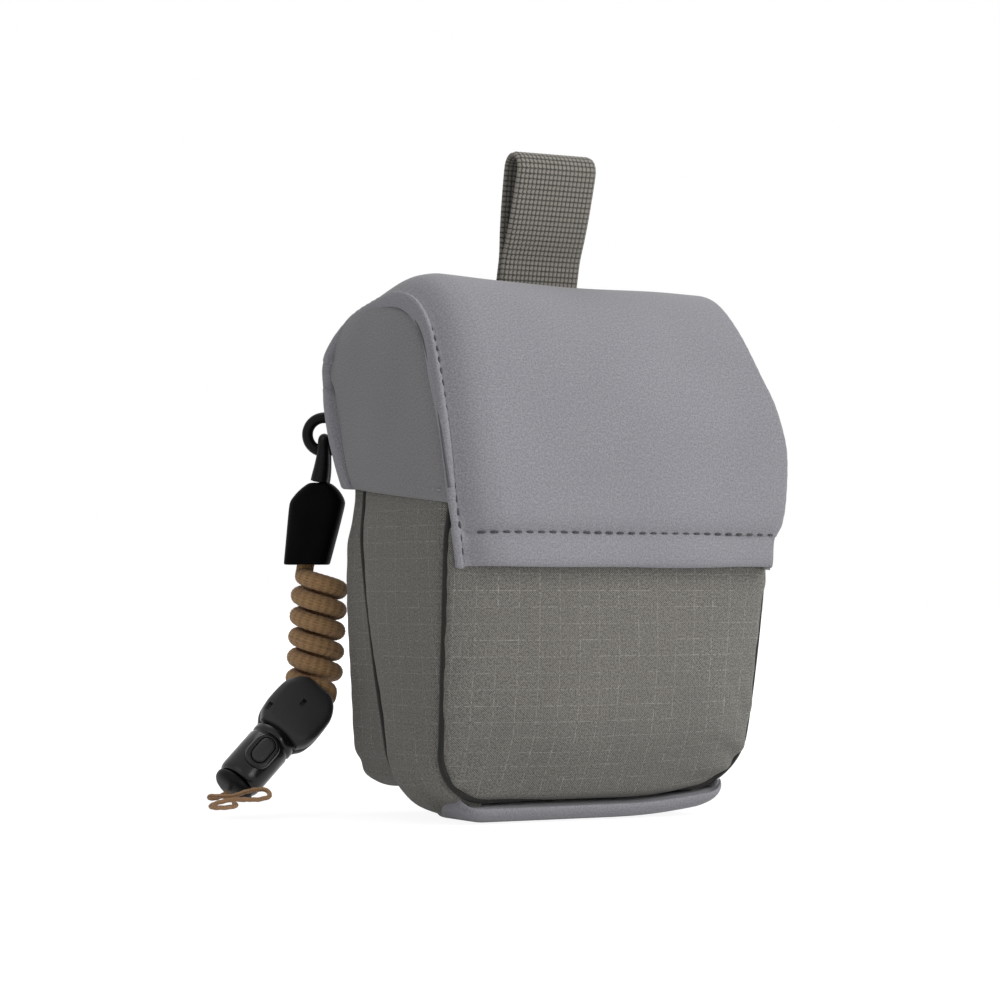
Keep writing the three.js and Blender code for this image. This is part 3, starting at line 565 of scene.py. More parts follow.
def plastic(name, base, light, rough, specular):
    """Moulded plastic: fine spark texture, faint scuffs."""
    m = Shader(name, specular=specular)
    fine = m.cloud(m.place(), 0.35, 2.0)
    scuff = m.cloud(m.place(), 6.0, 4.0)
    colour = m.mix(m.step(scuff, 0.45, 0.8, 0.0, 0.5), base, light)
    m.bump(fine, 0.03, 0.5)
    return m.finish(colour, m.step(scuff, 0.3, 0.75, rough - 0.06, rough + 0.1))


def metal(name, base, light):
    """Plated steel with a faint swirl."""
    m = Shader(name)
    m.skin.inputs["Metallic"].default_value = 1.0
    swirl = m.cloud(m.place(), 1.2, 3.0)
    m.bump(swirl, 0.02, 0.4)
    return m.finish(m.mix(swirl, base, light), m.step(swirl, 0.3, 0.7, 0.28, 0.42))


def braid(name, base, light, dark):
    """Braided cord: two crossing families of yarns and dark tracer yarns along it."""
    m = Shader(name, sheen=0.15, specular=0.25)
    u, v = m.uv()
    around = math.pi * CORD_D
    turn = m.times(u, 2 * math.pi * BRAID_YARNS / around)
    run = m.times(v, 2 * math.pi / BRAID_PITCH)
    a = m.calc("SINE", m.plus(turn, run))
    b = m.calc("SINE", m.calc("SUBTRACT", turn, run))
    yarns = m.step(m.times(a, b), -1.4, 0.6)
    fibre = m.cloud(m.point(u, m.times(v, 0.5)), 0.3, 3.0, True)
    tracer = m.line(u, around / 4, 0.5)
    colour = m.mix(yarns, dark, base)
    colour = m.mix(m.step(fibre, 0.4, 0.75, 0.0, 0.6), colour, light)
    colour = m.mix(m.times(tracer, 0.2), colour, dark)
    m.bump(m.plus(yarns, m.times(fibre, 0.5)), 0.12, 0.8)
    return m.finish(colour, m.step(fibre, 0.2, 0.8, 0.78, 0.92))


def yarn(name, base, light, pitch):
    """Twisted thread."""
    m = Shader(name, sheen=0.1, specular=0.25)
    u, v = m.uv()
    ply = m.wave(m.plus(u, v), pitch)
    fuzz = m.cloud(m.place(), 0.4, 2.0)
    colour = m.mix(m.step(ply, -0.8, 0.9), base, light)
    m.bump(m.plus(ply, fuzz), 0.08, 0.8)
    colour = m.mix(m.step(fuzz, 0.4, 0.8, 0.0, 0.4), colour, light)
    return m.finish(colour, m.step(fuzz, 0.2, 0.8, 0.78, 0.92))


KNIT = knit("grey_knit", (147, 146, 152), (168, 167, 173), (113, 112, 117))
# The cheeks' knit is the grey knit made darker: painted shade for the lid's sides, which face away from the
# light
SHADED_SIDE_KNIT = knit("side_knit_painted_shade", (132, 130, 133), (148, 146, 149), (106, 104, 107))
RIPSTOP = ripstop("olive_ripstop", (118, 116, 110), (170, 168, 162), (70, 68, 64))
STRAP = webbing("strap_weave", (140, 136, 128), (176, 172, 164), (52, 50, 45))
LINING = knit("lining_tricot", (92, 92, 95), (108, 108, 112), (76, 76, 79))
THREAD = yarn("dark_thread", (66, 65, 69), (98, 97, 101), 0.5)
PALE_THREAD = yarn("grey_thread", (138, 137, 140), (168, 167, 170), 0.5)
TAPE = ripstop("binding_tape", (88, 86, 80), (112, 110, 103), (70, 68, 62))
# Near-black seam tubes: partly the tape's own colour, partly painted shade down in the seams
SEAM_TAPE_AND_SHADE = ripstop("seam_tape", (30, 29, 27), (44, 42, 39), (22, 21, 20))
BLACK = plastic("black_plastic", (8, 8, 9), (16, 16, 18), 0.45, specular=0.12)
RUBBER = plastic("boot_rubber", (4, 4, 5), (9, 9, 10), 0.62, specular=0.04)
GLOSS = plastic("gloss_black", (12, 12, 14), (22, 22, 25), 0.22, specular=0.3)
CHARCOAL = plastic("charcoal_plastic", (44, 44, 46), (56, 56, 59), 0.42, specular=0.25)
STEEL = metal("plated_steel", (150, 152, 158), (196, 198, 204))
COIL = braid("brown_braid", (170, 133, 92), (200, 164, 122), (124, 95, 62))
STRING = yarn("tan_twist", (150, 112, 78), (190, 152, 116), 0.8)
TIE = yarn("black_tie", (26, 26, 28), (46, 46, 49), 0.7)

# Lanyard, made first of the pieces: places by right, height and nearness as seen in the photograph
TURN = math.radians(-29.8)
RIGHT = np.array([math.cos(TURN), math.sin(TURN), 0.0])
UP = np.array([0.0, 0.0, 1.0])
NEAR = np.cross(RIGHT, UP)


def at(right, z, near):
    """A place beside the ring, by right, height over the ground and nearness."""
    return np.array([RING_C[0], RING_C[1], 0.0]) + RIGHT * right + NEAR * near + UP * z


# The release: its direction by right, nearness and height, and its sides
RELEASE_AIM, CLAMP_GAP, PLUG_HEAD = (-0.57, 0.468, -0.675), 0.3, 3.6
AXIS = unit(RIGHT * RELEASE_AIM[0] + NEAR * RELEASE_AIM[1] + UP * RELEASE_AIM[2])
FACE = unit(NEAR - AXIS * (NEAR @ AXIS))
SIDE = np.cross(FACE, AXIS)
CLAMP_AT = at(-1.2, RELEASE_Z + 0.2, 5.1)
SOCKET_FROM = CLAMP_L + CLAMP_GAP
SOCKET_TO = SOCKET_FROM + SOCKET_L


def curl(turn):
    """Centre of the coiled cord after a number of turns from its rear."""
    a = -2 * math.pi * turn - math.pi / 2
    drift = COIL_SHIFT + COIL_DRIFT * turn / COIL_TURNS
    r = COIL_R * (COIL_NECK + (1 - COIL_NECK) * float(ramp(turn, 0.0, COIL_OPENS)))
    across = r * math.cos(a)
    return at(drift + across, COIL_TOP - COIL_PITCH * turn - COIL_TILT * across, r * math.sin(a))


cord_route = [at(-3.6, 79, 0), at(-4, 74, 0), at(-4.4, 70.4, -0.2), at(-4.9, 67.2, -0.3)]
cord_route += [curl(turn) for turn in np.linspace(COIL_FIRST, COIL_TURNS, 64)]
cord_route += [
    at(0.3, 33.3, 5.3), at(1.6, 32.3, 4.8), at(1.3, 30.7, 4.5), at(-0.2, 29.2, 4.6), at(-2, 28, 5.3),
    at(-3.8, 27, 6.6),
]
cord_line = even(catmull(cord_route, 12), 520)


def braided(a, s):
    """Radius of the coiled cord, with the crossing yarns of its braid."""
    turn, run = BRAID_YARNS * a, 2 * np.pi * s / BRAID_PITCH
    return CORD_D / 2 - BRAID_RELIEF + BRAID_RELIEF * np.sin(turn + run) * np.sin(turn - run)


coil = link("coil_cord_braid", *tube(cord_line, braided, 36), COIL, "pouch", ["coil_cord"], "brown_cord")

plug_end = CLAMP_AT + AXIS * (SOCKET_TO + PLUG_HEAD)
BOW = [
    [0, 0, 0], [-1, -0.6, 1], [-2.8, -1.4, 3], [-4.2, -1.2, 5.4], [-3.6, -0.6, 7.6], [-1, -0.6, 8],
    [2, -0.6, 6.4], [5, 0.3, 5], [8.4, 1.0, 4.6], [11, 0.7, 5.6], [11.6, -0.6, 7], [9, -1.4, 7.8],
    [5.4, -1.4, 8], [1.6, -1.5, 8.8], [-1.8, -2.2, 10.6], [-3, -2.8, 13], [-1.6, -3, 15.4],
    [1.6, -2.9, 15.8], [3.6, -2.6, 13.6], [2.8, -2.1, 11],
]
bow_line = even(catmull([plug_end + RIGHT * r + UP * z + NEAR * n for r, z, n in BOW], 20), 420)


def twisted(a, s):
    """Radius of the string, with the three plies of its twist."""
    return STRING_D / 2 * (0.93 + 0.07 * np.cos(3 * a + 2 * np.pi * s / STRING_LAY))


string_form = tube(bow_line, twisted, 12)
string = link("release_string_bow", *string_form, STRING, "plug", ["release_string"], "tan_string")


def local(points):
    """Points of the release, given along its axis, sideways and out of its face."""
    p = np.asarray(points, float)
    return CLAMP_AT + p[..., :1] * AXIS + p[..., 1:2] * SIDE + p[..., 2:3] * FACE


def torus(centre, e1, e2, big, small, n=64, m=20):
    e3 = np.cross(e1, e2)
    around, across = (np.linspace(0, 2 * np.pi, k, endpoint=False) for k in (n, m))
    a, b = np.meshgrid(around, across, indexing="ij")
    out = np.cos(a)[..., None] * e1 + np.sin(a)[..., None] * e2
    p = centre + out * (big + small * np.cos(b))[..., None] + e3 * (small * np.sin(b))[..., None]
    return p.reshape(-1, 3), band(n, m, 1), np.stack([a * big, b * small], axis=2).reshape(-1, 2)


ring_form = torus(RING_C, RIGHT, UP, RING_R, RING_WIRE)
link("anchor_ring_moulded", *ring_form, BLACK, "pouch", ["anchor_ring"], "black_plastic")
TIE_R = 0.7
edge_at = RING_C + RIGHT * RING_R
tie_bend = RING_WIRE + TIE_R + 0.35
tie_foot = float(along(UPPER_OUT, RING_C[2])) + 0.1
tie_arc = [
    edge_at + tie_bend * np.array([math.cos(a), math.sin(a), 0]) for a in np.linspace(0, math.pi, 7)
]
tie_ends = [np.array([edge_at[0] + side * tie_bend, tie_foot, RING_C[2]]) for side in (1, -1)]
tie_line = even(catmull([tie_ends[0]] + tie_arc + [tie_ends[1]], 16), 120)
tie_form = tube(tie_line, lambda a, s: TIE_R * (0.94 + 0.06 * np.cos(3 * a + np.pi * s)), 12)
link("anchor_tie", *tie_form, TIE, "pouch", ["anchor_cord"], "black_cord")

bail_top = RING_C[2] - RING_R
bail_arc = [at(0, bail_top + BAIL_R * math.sin(a), BAIL_R * math.cos(a)) for a in np.linspace(0, math.pi, 9)]
bail_legs = [
    [at(-1.1, BOOT_TOP + 0.2, near), at(-0.4, BOOT_TOP + 4.2, near)] for near in (BAIL_R, -BAIL_R)
]
bail_line = even(catmull(bail_legs[0] + bail_arc + bail_legs[1][::-1], 16), 90)
bail_run = length_of(bail_line)[-1]


def bail_thick(a, s):
    """The bail widens down to the boot."""
    return BAIL_WIRE * (1 + 0.5 * ramp(np.abs(s / bail_run - 0.5), 0.12, 0.5)) + 0 * a


link("boot_bail_moulded", *tube(bail_line, bail_thick, 20), BLACK, "pouch", ["boot_bail"], "black_plastic")


def boot_ring(down, shift, half_w, half_d, n=56):
    """One rounded square of the boot."""
    a = np.linspace(0, 2 * np.pi, n, endpoint=False)
    c, s = np.cos(a), np.sin(a)
    x = shift + half_w * np.sign(c) * np.abs(c) ** 0.55
    y = half_d * np.sign(s) * np.abs(s) ** 0.55
    return np.array([at(i, BOOT_TOP - down, j) for i, j in zip(x, y)])


# Boot: depth below its top, shift to the right, half width and half depth; down the outside, up the inside
BOOT = [
    (0.0, -1.1, 2.4, 4.6), (0.15, -1.1, 3.0, 5.0), (0.7, -1.17, 3.9, 5.3), (2.2, -1.33, 5.6, 5.7),
    (3.9, -1.58, 6.8, 6.1), (4.9, -1.72, 7.3, 6.35), (5.6, -1.83, 7.5, 6.4), (7, -2.07, 7.45, 6.42),
    (11, -2.75, 7.15, 6.36), (15, -3.43, 6.8, 6.3), (19, -4.14, 6.45, 6.25), (21.4, -4.57, 6.25, 6.2),
    (22.1, -4.69, 6.15, 6.1), (22.3, -4.72, 5.9, 5.85), (22.3, -4.72, 5.4, 5.3), (21.9, -4.65, 5.2, 5.1),
    (19, -4.14, 5.2, 5.1), (12.8, -3.05, 5.4, 5.1), (7.3, -2.12, 5.8, 5.1), (6.8, -2, 5.2, 4.6),
]
boot_form = rings([boot_ring(*row) for row in BOOT])
link("coil_boot_moulded", *boot_form, RUBBER, "pouch", ["coil_boot"], "black_plastic", 1)

CLAMP_HALF = [[0, 3.8], [1, 5.3], [3, 7], [5.5, 8.1], [9, 8.4], [13, 8.3], [15.8, 7.6], [CLAMP_L, 6.1]]
# Clamp half: share of its thickness from the parting plane, and size of the outline there
CLAMP_ROWS = [
    (0, 0.94), (0.03, 0.975), (0.1, 1.0), (0.4, 1.0), (0.66, 0.985), (0.82, 0.945), (0.92, 0.885),
    (0.98, 0.81), (1.0, 0.74), (1.01, 0.35),
]


def clamp_outline(n=36):
    a, b = np.array(CLAMP_HALF, float).T
    side = even(catmull(np.stack([a, b, 0 * a], axis=1), 8), n)[:, :2]
    return np.vstack([side, side[::-1] * [1, -1]])


def clamp_half(high, sign, low=0.2):
    """Half of the clamp: a rounded plate from its parting plane `low` out to its face `high`."""
    outline = clamp_outline()
    middle = np.array([CLAMP_L / 2, 0.0])
    loops = []
    for share, size in CLAMP_ROWS:
        flat = middle + (outline - middle) * size
        depth = sign * (low + (high - low) * share)
        loops.append(local(np.column_stack([flat, np.full(len(flat), depth)])))
    return rings(loops)


def cut(obj, *tools):
    """Takes the tools out of the piece and keeps its surface closed."""
    for tool in tools:
        work = obj.modifiers.new("cut", "BOOLEAN")
        work.operation, work.solver, work.object = "DIFFERENCE", "EXACT", tool
    depsgraph = bpy.context.evaluated_depsgraph_get()
    made = bpy.data.meshes.new_from_object(obj.evaluated_get(depsgraph))
    obj.modifiers.clear()
    made.set_sharp_from_angle(angle=math.radians(40))
    obj.data = made
    for tool in tools:
        bpy.data.objects.remove(tool)
    return obj


def block(name, centre, half):
    """A small block in the release's own directions, for cutting."""
    signs = [(-1, -1), (1, -1), (1, 1), (-1, 1)]
    corners = np.array([(x, y, z) for z in (-1, 1) for x, y in signs]) * half + centre
    faces = [(0, 3, 2, 1), (4, 5, 6, 7), (0, 1, 5, 4), (1, 2, 6, 5), (2, 3, 7, 6), (3, 0, 4, 7)]
    return link(name, local(corners), faces, None, BLACK, None, flat=True)


SLOT = (1.1, 0.55, 1.1)
clamp_front = link("clamp_front_shell", *clamp_half(CLAMP_T + 0.3, 1), CHARCOAL, None)
slots = [block("slot_a", (7.8, -0.5, CLAMP_T), SLOT), block("slot_b", (14.6, -6.8, CLAMP_T), SLOT)]
cut(clamp_front, *slots)
clamp_rear = link("clamp_rear_shell", *clamp_half(CLAMP_T + 0.2, -1), CHARCOAL, None)
for shell, node in ((clamp_front, "clamp_front"), (clamp_rear, "clamp_rear")):
    carry(shell, "pouch", [node])


def lathe(profile, sides=48):
    a = np.linspace(0, 2 * np.pi, sides, endpoint=False)
    turned = [np.column_stack([np.full(sides, s), r * np.cos(a), r * np.sin(a)]) for r, s in profile]
    return rings([local(loop) for loop in turned])


def stadium(half_length, r, height, n=12):
    """The button's long outline at a height over the release's axis."""
    a = np.concatenate([np.linspace(-np.pi / 2, np.pi / 2, n), np.linspace(np.pi / 2, 3 * np.pi / 2, n)])
    shift = np.concatenate([np.full(n, half_length), np.full(n, -half_length)])
    return local(np.column_stack([BUTTON_A + shift + r * np.cos(a), r * np.sin(a), np.full(2 * n, height)]))


def raised(rows):
    return rings([stadium(BUTTON_L, r, SOCKET_R + h) for r, h in rows])


# Turned pieces, as radius and place along the axis: the socket's outside and bore, the plug's stem and head
SOCKET = [(SOCKET_R - r, SOCKET_FROM + s) for r, s in (
    (2.2, 0), (1.1, 0), (0.6, 0.12), (0.18, 0.45), (0, 0.9), (0, 2.2), (0.12, 2.45), (0.5, 2.7), (0.5, 3.2),
    (0.14, 3.5), (0, 3.8), (0, 8),
)]
SOCKET += [
    (SOCKET_R - r, SOCKET_TO - s) for r, s in ((0, 3), (0.06, 1.5), (0.3, 0.7), (0.75, 0.15), (1.2, 0))
]
SOCKET += [(PLUG_R + r, SOCKET_TO - s) for r, s in ((0.9, 0), (0.5, 0.3), (0.4, 1), (0.4, 5.7), (0, 6))]
PLUG = [(PLUG_R + r, SOCKET_TO + s) for r, s in (
    (-1, -5.4), (-0.5, -5.4), (-0.15, -5.2), (0, -4.9), (0, 0.28), (2.1, 0.32), (2.5, 0.45), (2.65, 0.75),
    (2.6, 1.4), (2.4, 2.0), (1.9, 2.5), (1.0, 2.9), (-0.4, 3.1), (-2.0, 3.2),
)]
# Button and the rim round it: radius of the ends and height over the socket
RIM = [(3.7, -2.8), (3.7, -0.5), (3.6, 0.1), (3.35, 0.55), (3.0, 0.7), (2.5, 0.7)]
WELL = [(BUTTON_R + 0.3, -3.2), (BUTTON_R + 0.3, 2.0)]
BUTTON = [(BUTTON_R - r, h) for r, h in (
    (0.08, -1.6), (0, -1.4), (0, 0.6), (0.04, 1.0), (0.2, 1.3), (0.5, 1.5), (1.1, 1.6),
)]
socket = link("release_socket_body", *lathe(SOCKET), GLOSS, None)
rim = link("rim", *raised(RIM), GLOSS, None)
well = link("well", *raised(WELL), GLOSS, None)
grow = socket.modifiers.new("grow", "BOOLEAN")
grow.operation, grow.solver, grow.object = "UNION", "EXACT", rim
cut(socket, well)
bpy.data.objects.remove(rim)
carry(socket, "pouch", ["release_socket"])
cap_form = raised(BUTTON)
button = link("release_button_cap", *cap_form, CHARCOAL, "button", ["release_button"], "charcoal_plastic")
plug = link("release_plug_body", *lathe(PLUG), BLACK, "plug", ["release_plug"], "black_plastic")

# Body panels: one pillow form, parted along its seams
ARC_Z = SEAM_Z + CORNER_R
ARC_X = float(along(BODY_HALF, ARC_Z)) - CORNER_R
BACK_FULL, FRONT_FULL, CORNER_RISE = 1.6, 2.0, 3.0
# Gussets: swell at the middle, sink into both seams, more of it at the rear one, and fullness at the corner
GUSSET_SWELL, SEAM_SINK, REAR_SINK, GUSSET_FULL = 1.6, 1.5, 0.9, 2.2


def square_roll(d, width):
    """As roll, but fuller."""
    return (1 - (1 - np.clip(np.asarray(d, float) / width, 0, 1)) ** 4) ** 0.25


def width_at(z, inset=0.0):
    """Half the width of the front and back at a height, with the round lower corners."""
    r = CORNER_R - inset
    round_part = ARC_X + np.sqrt(np.maximum(r * r - (ARC_Z - z) ** 2, 0))
    return np.where(z < ARC_Z, round_part, along(BODY_HALF, z) - inset)


def edge_of(x, z, inset=0.0):
    """How far a point of the front or back outline lies in from its seam."""
    r = CORNER_R - inset
    out = np.abs(x) - ARC_X
    corner = r - np.hypot(np.maximum(out, 0), ARC_Z - z)
    plain = np.minimum(width_at(z, inset) - np.abs(x), z - SEAM_Z - inset)
    return np.maximum(np.where((z < ARC_Z) & (out > 0), corner, plain), 0)


def heights(inset=0.0, n=48):
    """Rows of the body from its lower seam to its top."""
    r = CORNER_R - inset
    low = ARC_Z - r * np.cos(np.linspace(0, np.pi / 2, 20))
    return np.concatenate([low, np.linspace(ARC_Z, BODY_TOP, n + 1)[1:]])


def front_y(x, z, inset=0.0):
    crown = along(FRONT_CROWN, z) - inset - FRONT_FULL * (x / ARC_X) ** 2 * bump_at(z, 30.0, 24.0)
    return along(FRONT_SEAM, z) - crown * roll(edge_of(x, z, inset), FRONT_ROLL)


def back_y(x, z, inset=0.0):
    seam = along(BACK_SEAM, z)
    deep = along(BACK_FACE, z) - inset - seam + BACK_FULL * bump_at(np.abs(x), 37.0, 9.0)
    return seam + deep * square_roll(edge_of(x, z, inset), BACK_ROLL - inset / 2)


def drawn_up(p):
    """The front's lower right corner, drawn up round the foot."""
    corner = ramp(p[..., 0], 4.0, 47.0) ** 1.6 * (1 - ramp(p[..., 1], -12.0, 6.0))
    return p + np.array([0, 0, CORNER_RISE]) * (corner * (1 - ramp(p[..., 2], 3.0, 36.0)))[..., None]


def face_grid(surface, cols=84):
    """A front or back panel from seam to seam, and distance in from the seam."""
    z, u = np.meshgrid(heights(), spread(cols), indexing="ij")
    x = u * width_at(z)
    return np.stack([x, surface(x, z), z], axis=2), edge_of(x, z)


def pucker(p, d, n, height, pitch, reach):
    """Small gathers beside a seam, fading away from it."""
    run = p[..., 2] + p[..., 1] * 0.4
    wave = np.sin(2 * np.pi * run / pitch + 1.7 * np.sin(run / 9.0))
    return p + n * (height * wave * np.exp(-d / reach))[..., None]


def tucked(p, d, n, deep, reach):
    """The cloth drawn down into its seam."""
    return p - n * (deep * np.exp(-((d / reach) ** 2)))[..., None]


def creased(p, n, folds):
    """Soft folds in a panel: x and z of the deep end and of the end that runs out, depth and width."""
    for x0, z0, x1, z1, deep, wide in folds:
        run = np.array([x1 - x0, z1 - z0])
        size = float(np.hypot(*run))
        rel = np.stack([p[..., 0] - x0, p[..., 2] - z0], axis=-1)
        t = np.clip(rel @ run / size ** 2, 0, 1)
        off = (rel[..., 0] * run[1] - rel[..., 1] * run[0]) / size
        past = np.hypot(*np.moveaxis(rel - t[..., None] * run, -1, 0)) - np.abs(off)
        fall = (1 - t) ** 0.8 * np.exp(-((past / wide) ** 2))
        ridge = bump_at(off, 0.0, wide) - 0.6 * bump_at(off, 1.7 * wide, wide)
        p = p - n * (deep * fall * ridge)[..., None]
    return p


FOLDS = {
    "front_panel_cloth": [
        (44, 12, 26, 22, 0.9, 2.0), (40, 7, 18, 10, 0.8, 1.8), (45.5, 22, 34, 40, 0.6, 2.2),
        (-44, 13, -30, 26, 0.7, 2.2), (-40, 7, -24, 11, 0.6, 1.8), (-46, 40, -37, 54, 0.5, 2.4),
        (46, 56, 32, 50, 0.5, 2.4),
    ],
    "back_panel_cloth": [
        (-44, 13, -28, 24, 0.8, 2.2), (44, 13, 28, 25, 0.8, 2.2), (-20, 74, -34, 80, 0.6, 2.2),
        (20, 20, 33, 14, 0.6, 2.2),
    ],
}
for name, surface, node, foam, towards, seed, sunk in (
    ("front_panel_cloth", front_y, "front_panel", "front_foam", (0, -1, 0), 3.0, 0.9),
    ("back_panel_cloth", back_y, "back_panel", "back_foam", (0, 1, 0), 8.0, 1.9),
):
    p, d = face_grid(surface)
    n = outward(p, towards)
    p = creased(soft(p, n, 0.8, 26.0, seed), n, FOLDS[name])
    p = pucker(p, d, n, 0.16, 7.0, 3.5)
    p = drawn_up(tucked(p, d, n, sunk, 1.3))
    panel = link(name, *slab(p, n, SHELL), RIPSTOP, "pouch", [node, foam], "ripstop", 1)


def gusset_grid(side, n=50, cols=30):
    """A side panel from the front seam to the back one, and distance in from the nearer seam."""
    down = np.linspace(BODY_TOP, ARC_Z, n)
    a = np.linspace(0, np.pi / 2, 20)[1:]
    x = np.concatenate([along(BODY_HALF, down), ARC_X + CORNER_R * np.cos(a)])
    z = np.concatenate([down, ARC_Z - CORNER_R * np.sin(a)])
    nx = np.concatenate([np.ones(n), np.cos(a)])
    nz = np.concatenate([np.zeros(n), -np.sin(a)])
    t = (spread(cols) + 1) / 2
    front, back = along(FRONT_SEAM, z), along(BACK_SEAM, z)
    y = front[:, None] + (back - front)[:, None] * t
    d = np.minimum(t, 1 - t) * (back - front)[:, None]
    swell = GUSSET_SWELL * np.sin(np.pi * t) ** 0.6 - SEAM_SINK * np.exp(-((d / 1.2) ** 2))
    swell = swell - REAR_SINK * np.exp(-(((1 - t) * (back - front)[:, None] / 1.6) ** 2))
    swell = swell + GUSSET_FULL * (nz ** 2)[:, None] * ramp(t, 0.25, 0.5) * ramp(1 - t, 0.0, 0.12)
    px = (x[:, None] + nx[:, None] * swell) * side
    pz = z[:, None] + nz[:, None] * swell
    return np.stack([px, y, pz], axis=2), d


for name, side, node, foam in (
    ("left_gusset_cloth", -1, "left_gusset", "left_foam"),
    ("right_gusset_cloth", 1, "right_gusset", "right_foam"),
):
    p, d = gusset_grid(side)
    n = outward(p, (side, 0, 0))
    p = soft(p, n, 0.6, 22.0, 5.0 + side)
    p = drawn_up(pucker(p, d, n, 0.14, 6.5, 3.0))
    gusset = link(name, *slab(p, n, SHELL), RIPSTOP, "pouch", [node, foam], "ripstop", 1)

# Near-black tubes down in the seams, closing them: partly seam tape, partly painted shade for the dark bottom
# of the seam grooves
for name, table, inset, thick in (
    ("front_seam_tape", FRONT_SEAM, 1.3, 0.9), ("back_seam_tape", BACK_SEAM, 1.0, 1.05),
):
    seam_z = heights(inset)
    side_x, side_y = width_at(seam_z, inset), along(table, seam_z)
    left = np.stack([-side_x, side_y, seam_z], axis=1)[::-1]
    right = np.stack([side_x, side_y, seam_z], axis=1)
    seam_line = even(drawn_up(np.vstack([left, right])), 300)
    link(name, *tube(seam_line, thick, 8), SEAM_TAPE_AND_SHADE, "pouch", (), "ripstop")

# Base: a padded tray under the body, turned up round both lower corners
BASE_FRONT = float(along(FRONT_SEAM, SEAM_Z)) - BASE_OUT
BASE_BACK = float(along(BACK_SEAM, SEAM_Z)) + BASE_OUT
BASE_TAPER, LEFT_TUCK, RIGHT_TUCK, LEFT_TURN, RIGHT_TURN = 22.0, 9.0, 2.0, 0.8, 0.8
# Its inner side: gap under the body, more where it turns up, and how far its ends are tucked and flattened
BASE_GAP, BASE_LIFT, BASE_SEWN, BASE_FLAT = 0.3, 1.3, 1.4, 0.8
TURN_ROWS, FLAT_ROWS = 18, 24
turn_up = np.radians(np.linspace(0, BASE_TURN, TURN_ROWS))
base_turn = np.concatenate([-LEFT_TURN * turn_up[::-1], np.zeros(FLAT_ROWS), RIGHT_TURN * turn_up])[:, None]
flat_x = np.linspace(-ARC_X, ARC_X, FLAT_ROWS + 2)[1:-1]
base_x = np.concatenate([np.full(TURN_ROWS, -ARC_X), flat_x, np.full(TURN_ROWS, ARC_X)])[:, None]
base_rear = BASE_BACK - BASE_TAPER * (np.abs(base_turn) / math.radians(BASE_TURN)) ** 0.7
base_tuck = np.where(base_turn > 0, RIGHT_TUCK, LEFT_TUCK)
base_fore = BASE_FRONT + base_tuck * (np.abs(base_turn) / math.radians(BASE_TURN)) ** 3
base_y = (base_fore + base_rear) / 2 + spread(44)[None] * (base_rear - base_fore) / 2
turned = np.abs(np.sin(base_turn))
end_turn = math.radians(BASE_TURN) * np.where(base_turn > 0, RIGHT_TURN, LEFT_TURN)
end_d = (end_turn - np.abs(base_turn)) * (CORNER_R + SEAM_Z)
sewn_in = 1 - roll(end_d, 5.0)
base_inner = (BASE_GAP + BASE_LIFT * turned) * (1 - sewn_in) - BASE_SEWN * sewn_in
base_low = base_inner + BASE_RIM
side_d = np.minimum(base_y - base_fore, base_rear - base_y)
swell = roll(side_d, BASE_ROLL) * (1 - BASE_FLAT * sewn_in)
base_outer = base_low + (SEAM_Z - BASE_EDGE * turned - base_low) * swell
base_r = CORNER_R + base_outer
p = np.stack(np.broadcast_arrays(
    base_x + base_r * np.sin(base_turn), base_y, ARC_Z - base_r * np.cos(base_turn),
), axis=2)
p = drawn_up(p)
n = outward(p, (0, 0, -1))
base_form = slab(p, n, base_outer - base_inner)
base = link("base_pad", *base_form, KNIT, "pouch", ["base_panel", "base_board"], "knit", 1)


# Liner and bound mouth, seen when the lid is open
def pillow_ring(z, inset):
    """Once round the body at a height, `inset` within its skin."""
    u = spread(30)
    zz = np.full(len(u), float(z))
    half = float(width_at(np.array(z), inset))
    front, back = float(along(FRONT_SEAM, z)), float(along(BACK_SEAM, z))
    t = np.linspace(0, 1, 12)[1:-1]
    sx, sy, sz = half + np.sin(np.pi * t), front + (back - front) * t, np.full(len(t), float(z))
    loop = [np.stack([u * half, front_y(u * half, zz, inset), zz], 1), np.stack([sx, sy, sz], 1)]
    loop += [np.stack([u * half, back_y(u * half, zz, inset), zz], 1)[::-1]]
    loop += [np.stack([-sx, sy, sz], 1)[::-1]]
    return np.vstack(loop)


outer = [pillow_ring(z, LINER_IN) for z in heights(LINER_IN, 30)]
inner = [pillow_ring(z, LINER_OUT) for z in heights(LINER_OUT, 30)]
liner = link("liner_bag_cloth", *rings(outer + inner[::-1]), LINING, "pouch", ["liner_bag"], "lining")
# Binding: height over the body's top edge, and inset
BINDING = [
    (0.3, 0.4), (0.3, 0.2), (1.0, -0.1), (1.7, 0.1), (2.15, 0.8), (2.3, 2.0), (2.2, 3.4), (1.8, 4.5),
    (1.0, 4.9), (0.3, 4.6), (0.3, 4.2),
]
tape_loops = [pillow_ring(BODY_TOP, inset) + np.array([0, 0, rise]) for rise, inset in BINDING]
tape_form = rings(tape_loops + tape_loops[:1], (False, False))
link("mouth_binding_tape", *tape_form, TAPE, "pouch", ["mouth_binding"], "webbing", 1)
sewn = pillow_ring(BODY_TOP, 4.95) + np.array([0, 0, 0.9])
sewn = even(np.vstack([sewn, sewn[:1]]), 400)
inward = unit((np.array([0.0, 3.0, 0.0]) - sewn) * [1, 1, 0])
link("mouth_stitches", *thread(sewn, inward, *MOUTH_STITCH), THREAD, "pouch")

# Lid
lid_line = catmull([(0, y, z) for y, z in LID_PROFILE], 40)
lid_len = length_of(lid_line)
lid_tan = unit(np.gradient(lid_line, axis=0))
LID_LEN = float(lid_len[-1])
HEM_S = 1 - LIP_H / LID_LEN


def lid_at(s):
    """The lid's profile: y, z and the outward normal in y and z."""
    where = np.asarray(s, float) * LID_LEN
    y, z = (np.interp(where, lid_len, lid_line[:, k]) for k in (1, 2))
    ty, tz = (np.interp(where, lid_len, lid_tan[:, k]) for k in (1, 2))
    return y, z, tz, -ty


